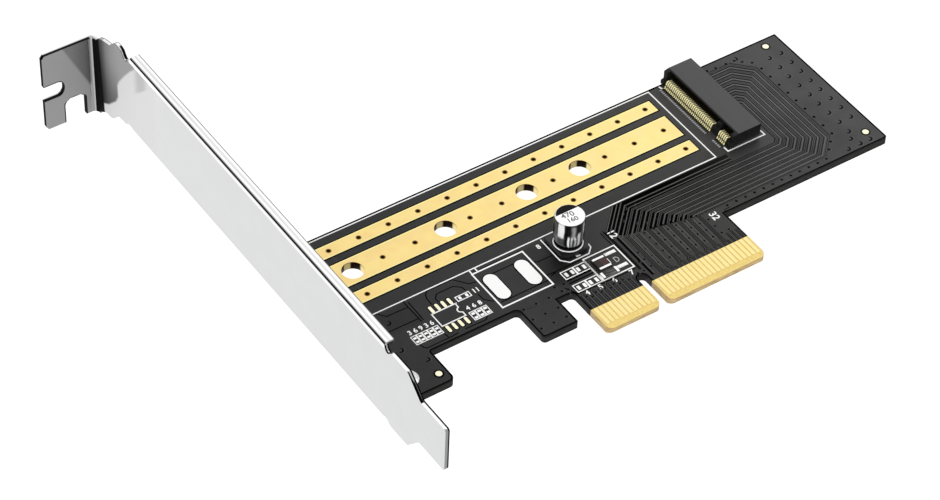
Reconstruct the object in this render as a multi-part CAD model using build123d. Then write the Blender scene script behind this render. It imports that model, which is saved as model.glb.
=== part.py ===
from build123d import *
import math
import os

# M.2 (M-key) solid-state-drive socket on a PCI Express x4 board, with a full-height slot bracket.
# Millimetres. X runs along the board away from the bracket, Y along the bracket towards its bent tab
# (the edge tongue is on the -Y side), Z is normal to the component side.
# Dimensions below are written about the 2280 retention hole at x = y = 0, component face at z = 0.

# ---------------------------------------------------------------- driving dimensions
# board
T = 1.60                 # laminate thickness
X_LEFT = -11.20          # hidden edge, half a millimetre off the bracket
X_END = 104.04           # far end
Y_TOP = 10.66
Y_LOW = -24.00           # main lower edge
TONGUE_Y = -36.60        # lowest edge of the edge tongue
TONGUE_X0 = 30.30        # left side of the short section
SHORT_W = 11.65          # contacts 1 to 11
KEY_W = 1.90             # key notch
LONG_W = 21.65           # contacts 12 to 32
KEY_TOP = -28.50
GAP_TOP = -25.65         # top of the narrow gap beside the tongue
FOOT_X1 = 0.75           # foot under the bracket
FOOT_Y = -31.90
STEP_X0, STEP_X1 = 19.40, 26.85   # second foot
STEP_Y = -32.10
# retention holes, from the 2280 hole towards the socket
M2_X = [0.0, 20.0, 38.0, 50.0]
M2_R = 2.11              # clear radius
PLATE = 0.05             # exposed copper thickness
# bracket fixing holes
FIX_X = -6.60
FIX_Y = [6.00, -17.00]   # the two that are used
FIX_R = 1.60
OPEN_FIX = (-6.30, -27.30, 2.10)  # the open one
# exposed strips
STRIP_X0, STRIP_X1 = -3.30, 71.80
STRIP_UP = (4.98, 8.04)
STRIP_MID = (-3.05, 3.05)
STRIP_LOW = (-7.84, -4.78)
VIA_PITCH = 6.44
VIA_X0 = -1.05
VIA_R = 0.42
VIA_HOLE_R = 0.30
VIA_MID_X = [6.35, 13.32, 25.35, 32.37, 43.87, 55.65, 62.50, 69.28]
# edge contacts
FINGER_PITCH = 1.00
FINGER_W = 0.70
FINGER_Y1 = -31.05
FINGER_Y0 = -35.45
# socket
SK_X0, SK_X1 = 76.90, 83.70
SK_HALF = 10.95
SK_H = 3.20
SLOT_HALF = 10.00
SLOT_Z0, SLOT_Z1 = 1.30, 2.45
PITCH = 0.50
# capacitor
CAP_X, CAP_Y = 36.40, -15.35
CAP_H = 7.70
CAP_R = 2.86
CAP_BASE = 6.20
# bracket
S = 0.86                 # sheet thickness
BX = -12.57              # outer face
BZ0, BZ1 = -4.35, 14.07  # 18.42 wide
BY0 = -48.20             # end of the lower tongue
BY1 = 71.82              # outer face of the bent tab: 120.02 over all
FLANGE_D = 2.05          # depth of the stiffening flanges
FLANGE_Y0, FLANGE_Y1 = -29.20, 56.90
TAB_X = -23.60           # free end of the tab
TAB_Z0, TAB_Z1 = -9.60, 8.75
NOTCH_W = 4.42           # screw notch
NOTCH_X = -17.10
NOTCH_TOP = -4.05

# the whole model is moved so that the middle of its underside box is the origin
DX = -(TAB_X + X_END) / 2
DY = -(BY0 + BY1) / 2
DZ = -TAB_Z0
SHIFT = Location((DX, DY, DZ))


def box(x0, x1, y0, y1, z0, z1):
    return Pos((x0 + x1) / 2, (y0 + y1) / 2, (z0 + z1) / 2) * Box(x1 - x0, y1 - y0, z1 - z0)


def cyl(x, y, z0, z1, r):
    return Pos(x, y, (z0 + z1) / 2) * Cylinder(r, z1 - z0)


def prism_z(pts, z0, z1):
    """Polygon in XY extruded from z0 to z1."""
    face = make_face(Polyline(*[(p[0], p[1]) for p in pts], close=True))
    return Pos(0, 0, z0) * extrude(face, amount=z1 - z0)


def prism_y(pts, y0, y1):
    """Polygon of (x, z) points extruded along Y."""
    face = make_face(Polyline(*[(p[0], y0, p[1]) for p in pts], close=True))
    return extrude(face, amount=y1 - y0, dir=(0, 1, 0))


def prism_x(pts, x0, x1):
    """Polygon of (y, z) points extruded along X."""
    face = make_face(Polyline(*[(x0, p[0], p[1]) for p in pts], close=True))
    return extrude(face, amount=x1 - x0, dir=(1, 0, 0))


def obround(x, y, w, h, z0, z1):
    r = min(w, h) / 2
    if h >= w:
        body = box(x - r, x + r, y - h / 2 + r, y + h / 2 - r, z0, z1)
        return body + cyl(x, y - h / 2 + r, z0, z1, r) + cyl(x, y + h / 2 - r, z0, z1, r)
    body = box(x - w / 2 + r, x + w / 2 - r, y - r, y + r, z0, z1)
    return body + cyl(x - w / 2 + r, y, z0, z1, r) + cyl(x + w / 2 - r, y, z0, z1, r)


def group(items):
    solids = []
    for it in items:
        solids += it.solids()
    return Compound(children=solids)


os.makedirs("parts", exist_ok=True)


def out(shape, name):
    solids = [s.moved(SHIFT) for s in shape.solids()]
    item = solids[0] if len(solids) == 1 else Compound(children=solids)
    export_step(item, f"parts/{name}.step")


# ---------------------------------------------------------------- circuit board
key_x0 = TONGUE_X0 + SHORT_W
key_x1 = key_x0 + KEY_W
tongue_x1 = key_x1 + LONG_W
kr = KEY_W / 2
outline = [
    (X_LEFT, Y_TOP), (X_END, Y_TOP), (X_END, Y_LOW), (tongue_x1, Y_LOW), (tongue_x1, TONGUE_Y),
    (key_x1, TONGUE_Y), (key_x1, KEY_TOP), (key_x0, KEY_TOP), (key_x0, TONGUE_Y), (TONGUE_X0, TONGUE_Y),
    (TONGUE_X0, GAP_TOP), (STEP_X1, GAP_TOP), (STEP_X1, STEP_Y), (STEP_X0, STEP_Y), (STEP_X0, Y_LOW),
    (FOOT_X1, Y_LOW), (FOOT_X1, FOOT_Y), (X_LEFT, FOOT_Y),
]
plan = make_face(Polyline(*outline, close=True))


def corners(shape, pts):
    return [v for v in shape.vertices() for p in pts if abs(v.X - p[0]) < 1e-4 and abs(v.Y - p[1]) < 1e-4]


for pts, r in [
    ([(X_END, Y_TOP)], 0.2),
    ([(X_END, Y_LOW)], 0.6),
    ([(tongue_x1, TONGUE_Y), (key_x1, TONGUE_Y), (key_x0, TONGUE_Y), (TONGUE_X0, TONGUE_Y)], 1.15),
    ([(key_x1, KEY_TOP), (key_x0, KEY_TOP)], kr - 0.02),
    ([(TONGUE_X0, GAP_TOP)], 0.9),
    ([(STEP_X0, STEP_Y)], 0.8),
    ([(STEP_X1, STEP_Y)], 0.3),
    ([(STEP_X0, Y_LOW)], 0.9),
    ([(FOOT_X1, FOOT_Y)], 1.1),
    ([(FOOT_X1, Y_LOW)], 0.4),
]:
    plan = fillet(corners(plan, pts), r)
board = Pos(0, 0, -T) * extrude(plan, amount=T)

cuts = [cyl(x, 0, -T - 1, 1, M2_R) for x in M2_X]
cuts += [cyl(FIX_X, y, -T - 1, 1, FIX_R) for y in FIX_Y]
cuts.append(cyl(OPEN_FIX[0], OPEN_FIX[1], -T - 1, 1, OPEN_FIX[2]))
via_rows = []
for n in range(12):
    via_rows.append((VIA_X0 + n * VIA_PITCH, 6.50))
    via_rows.append((VIA_X0 + n * VIA_PITCH, -6.37))
via_rows += [(x, -0.05) for x in VIA_MID_X]
cuts += [cyl(x, y, -T - 1, 1, VIA_R) for x, y in via_rows]
# bevels of the edge tongue, both faces
BEV_Y, BEV_Z = 0.90, 0.25
slope = BEV_Z / BEV_Y
for s in (1, -1):
    zf = 0.0 if s > 0 else -T
    cuts.append(prism_x([
        (TONGUE_Y + BEV_Y, zf), (TONGUE_Y - 0.4, zf - s * (BEV_Z + 0.4 * slope)),
        (TONGUE_Y - 0.4, zf + s * 0.6), (TONGUE_Y + BEV_Y, zf + s * 0.6)],
        TONGUE_X0 - 1, tongue_x1 + 1))
board = board - cuts
out(board, "circuit_board")

# ---------------------------------------------------------------- exposed strips and lands


def strip(y0, y1):
    return box(STRIP_X0, STRIP_X1, y0, y1, 0, PLATE)


def via_cut(y):
    return [cyl(vx, vy, -1, 1, VIA_R) for vx, vy in via_rows if abs(vy - y) < 0.2]


out(strip(*STRIP_UP) - via_cut(6.50), "strip_upper")
out(strip(*STRIP_LOW) - via_cut(-6.37), "strip_lower")
out(strip(*STRIP_MID) - via_cut(-0.05) - [cyl(x, 0, -1, 1, M2_R) for x in M2_X], "strip_middle")

# ring lands round the retention holes on the solder side
out(group([cyl(x, 0, -T - PLATE, -T, 3.0) - cyl(x, 0, -T - 1, 1, M2_R) for x in M2_X]), "retention_hole_lands")

vias = [cyl(x, y, -T, PLATE, VIA_R) - cyl(x, y, -T - 1, 1, VIA_HOLE_R) for x, y in via_rows]
out(group(vias), "thermal_vias")

# ---------------------------------------------------------------- edge contacts
finger_x = [TONGUE_X0 + 0.825 + n * FINGER_PITCH for n in range(11)]
finger_x += [key_x1 + 0.825 + n * FINGER_PITCH for n in range(21)]
hw = FINGER_W / 2
out(group([box(x - hw, x + hw, FINGER_Y0, FINGER_Y1, 0, PLATE) for x in finger_x]), "edge_contacts_component_side")
solder = []
for n, x in enumerate(finger_x):
    lift = 0.8 if n in (0,) else 0.0  # the present-detect contact is the short one
    solder.append(box(x - hw, x + hw, FINGER_Y0 + lift, FINGER_Y1, -T - PLATE, -T))
out(group(solder), "edge_contacts_solder_side")

# ---------------------------------------------------------------- pads left bare
ind = [obround(19.55, -17.20, 2.75, 6.75, 0, PLATE), obround(26.35, -17.20, 2.75, 6.75, 0, PLATE)]
out(group(ind), "inductor_pads")

leg8 = []
for n in range(4):
    leg8.append(obround(6.42 + 1.31 * n, -15.78, 0.62, 1.75, 0, PLATE))
    leg8.append(obround(6.42 + 1.31 * n, -21.28, 0.62, 1.75, 0, PLATE))
out(group(leg8), "chip_socket_pads")

chip_pads = [box(40.45, 42.80, -21.45, -20.75, 0, PLATE), box(40.45, 42.80, -25.25, -24.50, 0, PLATE)]
out(group(chip_pads), "spare_chip_pads")

small = []
for n in range(5):          # five upright pairs
    cx = 0.05 + 1.16 * n
    small.append(box(cx - 0.30, cx + 0.30, -20.30, -19.85, 0, PLATE))
    small.append(box(cx - 0.30, cx + 0.30, -21.25, -20.80, 0, PLATE))
for n in range(3):          # three upright pairs
    cx = 12.15 + 1.28 * n
    small.append(box(cx - 0.32, cx + 0.32, -20.75, -20.25, 0, PLATE))
    small.append(box(cx - 0.32, cx + 0.32, -21.85, -21.35, 0, PLATE))
for cx in (12.35, 13.80):   # one lying pair
    small.append(box(cx - 0.25, cx + 0.25, -16.40, -15.70, 0, PLATE))
for cy in (-21.48, -25.35):  # two rows of two lying pairs
    for cx in (31.75, 33.05, 34.35, 35.65):
        small.append(box(cx - 0.28, cx + 0.28, cy - 0.50, cy + 0.50, 0, PLATE))
out(group(small), "small_part_pads")

out(group([cyl(x, y, 0, PLATE, 0.62) for x, y in [(100.28, 8.62), (101.37, -20.74), (-1.07, -29.35)]]), "fiducial_marks")

# ---------------------------------------------------------------- M.2 socket
# odd contacts lie along the lower jaw, even contacts hang from the upper jaw; the key takes eight positions
odd_y = [9.25 - 0.25 * (n - 1) for n in range(1, 76, 2) if n < 59 or n > 66]
even_y = [9.25 - 0.25 * (n - 1) for n in range(2, 76, 2) if n < 59 or n > 66]
CW = 0.25
low_pts = [
    (75.75, 0.00), (76.58, 0.00), (76.98, 1.20), (77.10, 1.42), (77.28, 1.47), (77.70, 1.30), (78.30, 1.30), (79.20, 1.52), (80.20, 1.33),
    (80.20, 1.46), (79.20, 1.66), (78.28, 1.43), (77.74, 1.43), (77.32, 1.61), (77.02, 1.54), (76.85, 1.24), (76.47, 0.13), (75.75, 0.13),
]
up_pts = [
    (84.75, 0.00), (84.75, 0.14), (83.84, 0.14), (83.84, 2.62), (83.70, 2.76), (79.80, 2.76), (78.30, 2.12),
    (77.75, 2.30), (77.68, 2.18), (78.28, 1.98), (79.86, 2.62), (83.60, 2.62), (83.70, 2.52), (83.70, 0.00),
]
lower = [prism_y(low_pts, y - CW / 2, y + CW / 2) for y in odd_y]
upper = [prism_y(up_pts, y - CW / 2, y + CW / 2) for y in even_y]

body = prism_y([
    (SK_X0 - 0.18, 0.12), (SK_X1, 0.12), (SK_X1, SK_H), (SK_X0 + 1.50, SK_H), (SK_X0 + 1.05, SK_H - 0.25), (SK_X0 + 0.52, SK_H - 0.65),
    (SK_X0 + 0.18, SLOT_Z0)], -SLOT_HALF - 0.05, SLOT_HALF + 0.05)
# upright ears at both ends of the card slot
for y0, y1 in ((-SK_HALF, -SLOT_HALF), (SLOT_HALF, SK_HALF)):
    body = body + prism_y([
        (SK_X0 - 0.22, 0.12), (SK_X1, 0.12), (SK_X1, SK_H), (SK_X0 + 1.50, SK_H), (SK_X0 + 0.42, SK_H - 0.28),
        (SK_X0 + 0.42, 1.15), (SK_X0 - 0.22, 1.00)], y0, y1)
# card slot, with its lead-in
body = body - box(75.0, 80.60, -SLOT_HALF, SLOT_HALF, SLOT_Z0, SLOT_Z1)
body = body - prism_y([(SK_X0 - 0.5, SLOT_Z1 - 0.1), (SK_X0 - 0.5, SK_H - 0.16), (SK_X0 + 1.45, SK_H - 0.16), (SK_X0 + 2.05, SLOT_Z1 - 0.1)],
                      -SLOT_HALF, SLOT_HALF)
# grooves the contacts lie in
grooves = [box(77.40, 80.45, y - 0.15, y + 0.15, SLOT_Z1 - 0.2, 2.85) for y in even_y]
grooves += [box(80.40, 83.90, y - CW / 2, y + CW / 2, 2.62, 2.76) for y in even_y]
grooves += [box(83.55, 83.90, y - CW / 2, y + CW / 2, -0.2, 2.80) for y in even_y]
body = body - grooves
# key rib, solid from jaw to jaw
body = body + box(77.60, 80.80, -6.125 - 0.50, -6.125 + 0.50, SLOT_Z0 - 0.10, SLOT_Z1 + 0.10)
# small feet that stand on the board
feet = [box(77.2, 78.6, s * 9.9 - 0.7, s * 9.9 + 0.7, 0.0, 0.14) for s in (1, -1)]
feet += [box(81.4, 82.8, s * 9.9 - 0.7, s * 9.9 + 0.7, 0.0, 0.14) for s in (1, -1)]
for f in feet:
    body = body + f
out(body, "socket_housing")
out(group(lower), "socket_contacts_lower")
out(group(upper), "socket_contacts_upper")

# ---------------------------------------------------------------- electrolytic capacitor
hb = CAP_BASE / 2
c = 1.05
base = prism_z([
    (CAP_X - hb, CAP_Y + hb), (CAP_X + hb, CAP_Y + hb), (CAP_X + hb, CAP_Y - hb + c),
    (CAP_X + hb - c, CAP_Y - hb), (CAP_X - hb + c, CAP_Y - hb), (CAP_X - hb, CAP_Y - hb + c)], 0.10, 0.95)
base = base - cyl(CAP_X, CAP_Y, 0.60, 2.0, CAP_R + 0.05)
base = base - [box(CAP_X - 0.35, CAP_X + 0.35, CAP_Y + 0.9, CAP_Y + hb + 1, 0.0, 0.20),
               box(CAP_X - 0.35, CAP_X + 0.35, CAP_Y - hb - 1, CAP_Y - 0.9, 0.0, 0.20)]
base = base + [box(CAP_X + s * 2.2 - 0.4, CAP_X + s * 2.2 + 0.4, CAP_Y + t * 2.2 - 0.4, CAP_Y + t * 2.2 + 0.4, 0.0, 0.12)
               for s in (1, -1) for t in (1, -1)]
out(base, "capacitor_base")

cap_face = make_face(
    Plane.XZ.offset(0) * (
        Polyline((0, 0.60), (CAP_R - 0.20, 0.60))
        + ThreePointArc((CAP_R - 0.20, 0.60), (CAP_R - 0.02, 0.80), (CAP_R - 0.20, 1.01))
        + Line((CAP_R - 0.20, 1.01), (CAP_R - 0.42, 1.17))
        + ThreePointArc((CAP_R - 0.42, 1.17), (CAP_R - 0.52, 1.45), (CAP_R - 0.32, 1.80))
        + ThreePointArc((CAP_R - 0.32, 1.80), (CAP_R - 0.06, 2.40), (CAP_R, 2.95))
        + Line((CAP_R, 2.95), (CAP_R, CAP_H - 0.50))
        + ThreePointArc((CAP_R, CAP_H - 0.50), (CAP_R - 0.1465, CAP_H - 0.1465), (CAP_R - 0.48, CAP_H))
        + Line((CAP_R - 0.48, CAP_H), (0, CAP_H))
        + Line((0, CAP_H), (0, 0.60))
    )
)
can = Pos(CAP_X, CAP_Y, 0) * revolve(cap_face, axis=Axis.Z)
out(can, "capacitor_can")
leads = [box(CAP_X - 0.32, CAP_X + 0.32, CAP_Y + 0.95, CAP_Y + hb + 0.20, 0.05, 0.17),
         box(CAP_X - 0.32, CAP_X + 0.32, CAP_Y - hb - 0.20, CAP_Y - 0.95, 0.05, 0.17)]
out(group(leads), "capacitor_leads")

# ---------------------------------------------------------------- fitted chip parts
# chip capacitor, end caps on its +Y and -Y ends
ax0, ax1, ay0, ay1, ah = 37.35, 39.90, -24.16, -21.26, 0.60
out(box(ax0 + 0.02, ax1 - 0.02, ay0 + 0.50, ay1 - 0.50, 0.06, ah - 0.03), "chip_capacitor_body")
caps_a = [box(ax0, ax1, ay0, ay0 + 0.50, 0, ah), box(ax0, ax1, ay1 - 0.50, ay1, 0, ah)]
out(group([fillet(b.edges(), 0.10) for b in caps_a]), "chip_capacitor_ends")
# chip resistor, end caps on its -X and +X ends
bx0, bx1, by0, by1, bh = 36.75, 40.30, -26.12, -24.72, 0.45
out(box(bx0 + 0.50, bx1 - 0.50, by0, by1, 0.03, bh), "chip_resistor_body")
caps_b = [box(bx0, bx0 + 0.50, by0, by1, 0, bh), box(bx1 - 0.50, bx1, by0, by1, 0, bh)]
out(group([fillet(b.edges(), 0.06) for b in caps_b]), "chip_resistor_ends")

# ---------------------------------------------------------------- slot bracket
# flat pattern of the face in the Y-Z plane, one sheet thick
yt = BY1 - S                        # inner side of the bent tab
R_IN, R_OUT = 1.20, 1.20 + S        # bend of the tab
face_pts = [
    # lower end tongue
    (BY0 + 0.25, 9.55), (BY0, 9.15), (BY0, -0.25), (BY0 + 0.35, -0.64), (-40.60, -0.64), (-40.10, -0.95),
    # taper and lower edge to the flange
    (-37.10, BZ0 - 0.05), (-36.80, BZ0 - 0.30), (-31.60, BZ0 - 0.30), (-31.00, BZ0 + 0.05), (-30.55, BZ0 + 0.55),
    (-29.75, BZ0 + 0.55), (FLANGE_Y0, BZ0 + 0.30),
    # under the lower flange
    (FLANGE_Y1, BZ0 + 0.30), (57.60, BZ0 + 0.55), (58.55, BZ0 + 0.55), (59.10, BZ0 + 0.10),
    # offset towards the tab
    (59.80, -4.62), (61.90, -4.72), (62.50, -4.95), (64.60, -7.05), (65.40, -7.50), (67.30, -7.60), (69.60, -9.10),
    (yt - 0.02, TAB_Z0 + 0.02),
    # top edge back from the tab
    (yt - 0.02, 8.81), (69.76, 9.00), (69.10, 9.78), (67.60, 10.55), (65.30, 11.20), (64.75, 11.30), (64.35, 11.55), (64.05, 12.10),
    (63.30, 12.85), (62.40, 13.55), (61.00, 13.60), (60.10, 13.30), (59.70, 12.60), (59.10, 12.05), (58.40, 12.05),
    (57.80, 12.60), (57.30, 13.40), (FLANGE_Y1, BZ1 - 0.30),
    # along the upper flange
    (FLANGE_Y0, BZ1 - 0.30), (-29.45, 13.00), (-29.85, 12.45), (-30.35, 12.40), (-30.80, 12.80), (-31.35, 13.42),
    (-36.20, 13.42), (-36.70, 13.20), (-40.20, 9.90), (-40.60, 9.55),
]
face = prism_x(face_pts, BX, BX + S)
# the blank's corners outside the flange bends are rounded by its punch
for y, z in [(57.30, 13.40), (57.80, 12.60), (58.40, 12.05), (59.10, 12.05), (59.70, 12.60), (60.10, 13.30), (61.00, 13.60), (62.40, 13.55),
             (63.30, 12.85), (64.05, 12.10), (64.35, 11.55), (64.75, 11.30), (65.30, 11.20), (67.60, 10.55), (69.10, 9.78),
             (57.60, BZ0 + 0.55), (58.55, BZ0 + 0.55), (59.10, BZ0 + 0.10), (61.90, -4.72), (62.50, -4.95), (64.60, -7.05), (65.40, -7.50), (67.30, -7.60),
             (-29.45, 13.00), (-29.85, 12.45), (-30.35, 12.40), (-30.80, 12.80), (-31.35, 13.42), (-36.20, 13.42), (-36.70, 13.20),
             (-40.20, 9.90), (-40.60, 9.55), (BY0 + 0.25, 9.55), (BY0, 9.15), (BY0, -0.25), (BY0 + 0.35, -0.64), (-40.60, -0.64), (-40.10, -0.95),
             (-37.10, BZ0 - 0.05), (-36.80, BZ0 - 0.30), (-31.60, BZ0 - 0.30), (-31.00, BZ0 + 0.05), (-30.55, BZ0 + 0.55)]:
    edge = [e for e in face.edges() if abs(e.center().Y - y) < 1e-3 and abs(e.center().Z - z) < 1e-3 and abs(e.length - S) < 1e-3]
    for r in (0.9, 0.6, 0.4, 0.25):
        try:
            tried = fillet(edge, r)
            if tried.is_valid:
                face = tried
                break
        except Exception:
            continue


def flange(zs):
    """Stiffening flange: zs = +1 upper, -1 lower. Outer bend radius 0.5."""
    z = BZ1 if zs > 0 else BZ0
    ro, ri = 0.50, 0.15
    k = math.sqrt(0.5)

    def p(dx, dz):
        return (BX + dx, FLANGE_Y0, z - zs * dz)

    wire = [
        Line(p(0, 1.2), p(0, ro)),
        ThreePointArc(p(0, ro), p(ro * (1 - k), ro * (1 - k)), p(ro, 0)),
        Line(p(ro, 0), p(FLANGE_D, 0)),
        Line(p(FLANGE_D, 0), p(FLANGE_D, S)),
        Line(p(FLANGE_D, S), p(S + ri, S)),
        ThreePointArc(p(S + ri, S), p(S + ri * (1 - k), S + ri * (1 - k)), p(S, S + ri)),
        Line(p(S, S + ri), p(S, 1.2)),
        Line(p(S, 1.2), p(0, 1.2)),
    ]
    return extrude(make_face(wire), amount=FLANGE_Y1 - FLANGE_Y0, dir=(0, 1, 0))


upper_flange, lower_flange = flange(1), flange(-1)
# the square edges of the face stop short of the flange bends
face = face - box(BX - 1, BX + S + 1, FLANGE_Y0, FLANGE_Y1, BZ1 - 1.2, BZ1 + 1)
face = face - box(BX - 1, BX + S + 1, FLANGE_Y0, FLANGE_Y1, BZ0 - 1, BZ0 + 1.2)
bracket = face + upper_flange + lower_flange

# bent tab with its screw notch and side slot
tab_pts = [
    (TAB_X + 0.55, TAB_Z1), (TAB_X, TAB_Z1 - 0.60), (TAB_X, 1.15), (TAB_X + 3.10, 1.15), (TAB_X + 3.75, 0.90), (TAB_X + 4.25, 0.20), (TAB_X + 4.30, -0.55),
    (TAB_X + 4.25, -1.30), (TAB_X + 3.75, -2.00), (TAB_X + 3.10, -2.25), (TAB_X, -2.25), (TAB_X, TAB_Z0 + 0.70), (TAB_X + 0.50, TAB_Z0),
    (NOTCH_X - NOTCH_W / 2, TAB_Z0), (NOTCH_X - NOTCH_W / 2, -5.30), (NOTCH_X - 1.85, -4.55), (NOTCH_X - 1.10, NOTCH_TOP),
    (NOTCH_X + 1.10, NOTCH_TOP), (NOTCH_X + 1.85, -4.55), (NOTCH_X + NOTCH_W / 2, -5.30), (NOTCH_X + NOTCH_W / 2, TAB_Z0),
    (BX - R_IN, TAB_Z0), (BX - R_IN, TAB_Z1),
]
tab = prism_y(tab_pts, yt, BY1)
# quarter bend between face and tab, then the face's last strip
cx, cy = BX - R_IN, yt - R_IN
k = math.sqrt(0.5)
bend_wire = [
    ThreePointArc((cx + R_OUT, cy, TAB_Z0), (cx + R_OUT * k, cy + R_OUT * k, TAB_Z0), (cx, cy + R_OUT, TAB_Z0)),
    Line((cx, cy + R_OUT, TAB_Z0), (cx, cy + R_IN, TAB_Z0)),
    ThreePointArc((cx, cy + R_IN, TAB_Z0), (cx + R_IN * k, cy + R_IN * k, TAB_Z0), (cx + R_IN, cy, TAB_Z0)),
    Line((cx + R_IN, cy, TAB_Z0), (cx + R_OUT, cy, TAB_Z0)),
]
bend = extrude(make_face(bend_wire), amount=TAB_Z1 + 1.0 - TAB_Z0, dir=(0, 0, 1))
# its upper edge climbs from the tab to the face
bend = bend - prism_y([(cx - 1, TAB_Z1), (cx + 0.5, TAB_Z1), (BX, 8.96), (BX + S, 9.04), (BX + S + 1, 9.10), (BX + S + 1, 12), (cx - 1, 12)], cy - 1, BY1 + 1)
# the face ends where the bend starts
face_end = box(BX - 1, BX + S + 1, cy, yt + 2, TAB_Z0 - 2, TAB_Z1 + 4)
bracket = bracket - face_end + bend + tab

# two fixing ears: the lower flange runs on, steps up to the board and takes a screw
for ey in FIX_Y:
    ear = prism_y([
        (BX + 1.60, BZ0), (BX + 2.40, BZ0), (BX + 3.90, -T - S - 0.05), (BX + 4.10, -T - S), (-3.30, -T - S),
        (-3.30, -T), (BX + 3.85, -T), (BX + 3.60, -T - 0.05), (BX + 2.15, BZ0 + S), (BX + 1.60, BZ0 + S)],
        ey - 4.0, ey + 4.0)
    ear = ear - cyl(FIX_X, ey, -6, 0, 1.25)
    bracket = bracket + ear
out(bracket, "slot_bracket")

# ---------------------------------------------------------------- bracket screws
screws = []
for ey in FIX_Y:
    head = cyl(FIX_X, ey, 0.0, 1.75, 2.65)
    head = fillet(head.edges().group_by(Axis.Z)[-1], 0.9)
    shank = cyl(FIX_X, ey, -4.2, 0.0, 1.25)
    screw = head + shank
    screw = screw - [box(FIX_X - 1.55, FIX_X + 1.55, ey - 0.28, ey + 0.28, 0.85, 2.5),
                     box(FIX_X - 0.28, FIX_X + 0.28, ey - 1.55, ey + 1.55, 0.85, 2.5)]
    screws.append(screw)
out(group(screws), "bracket_screws")
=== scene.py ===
import math
import random

import bpy
from mathutils import Matrix, Vector


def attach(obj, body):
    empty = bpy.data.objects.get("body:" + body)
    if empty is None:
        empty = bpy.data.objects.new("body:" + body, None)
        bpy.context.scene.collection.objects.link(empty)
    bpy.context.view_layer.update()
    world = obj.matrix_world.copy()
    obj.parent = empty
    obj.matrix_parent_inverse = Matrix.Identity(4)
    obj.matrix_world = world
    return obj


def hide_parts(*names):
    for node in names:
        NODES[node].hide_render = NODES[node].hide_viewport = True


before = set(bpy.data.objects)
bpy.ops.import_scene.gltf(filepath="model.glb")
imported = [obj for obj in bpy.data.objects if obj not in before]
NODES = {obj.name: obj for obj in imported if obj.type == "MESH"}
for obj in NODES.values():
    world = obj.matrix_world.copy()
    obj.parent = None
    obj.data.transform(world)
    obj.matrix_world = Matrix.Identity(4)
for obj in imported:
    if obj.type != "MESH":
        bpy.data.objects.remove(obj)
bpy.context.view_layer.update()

random.seed(7)

# Everything drawn here is written in millimetres about the retention hole nearest the bracket,
# with the component face at z = 0, and moved into the row frame by P().
SX, SY, SZ = 40.22, 11.81, 9.60


def P(x, y, z=0.0):
    return ((x - SX) * 0.001, (y - SY) * 0.001, (z + SZ) * 0.001)


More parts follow.
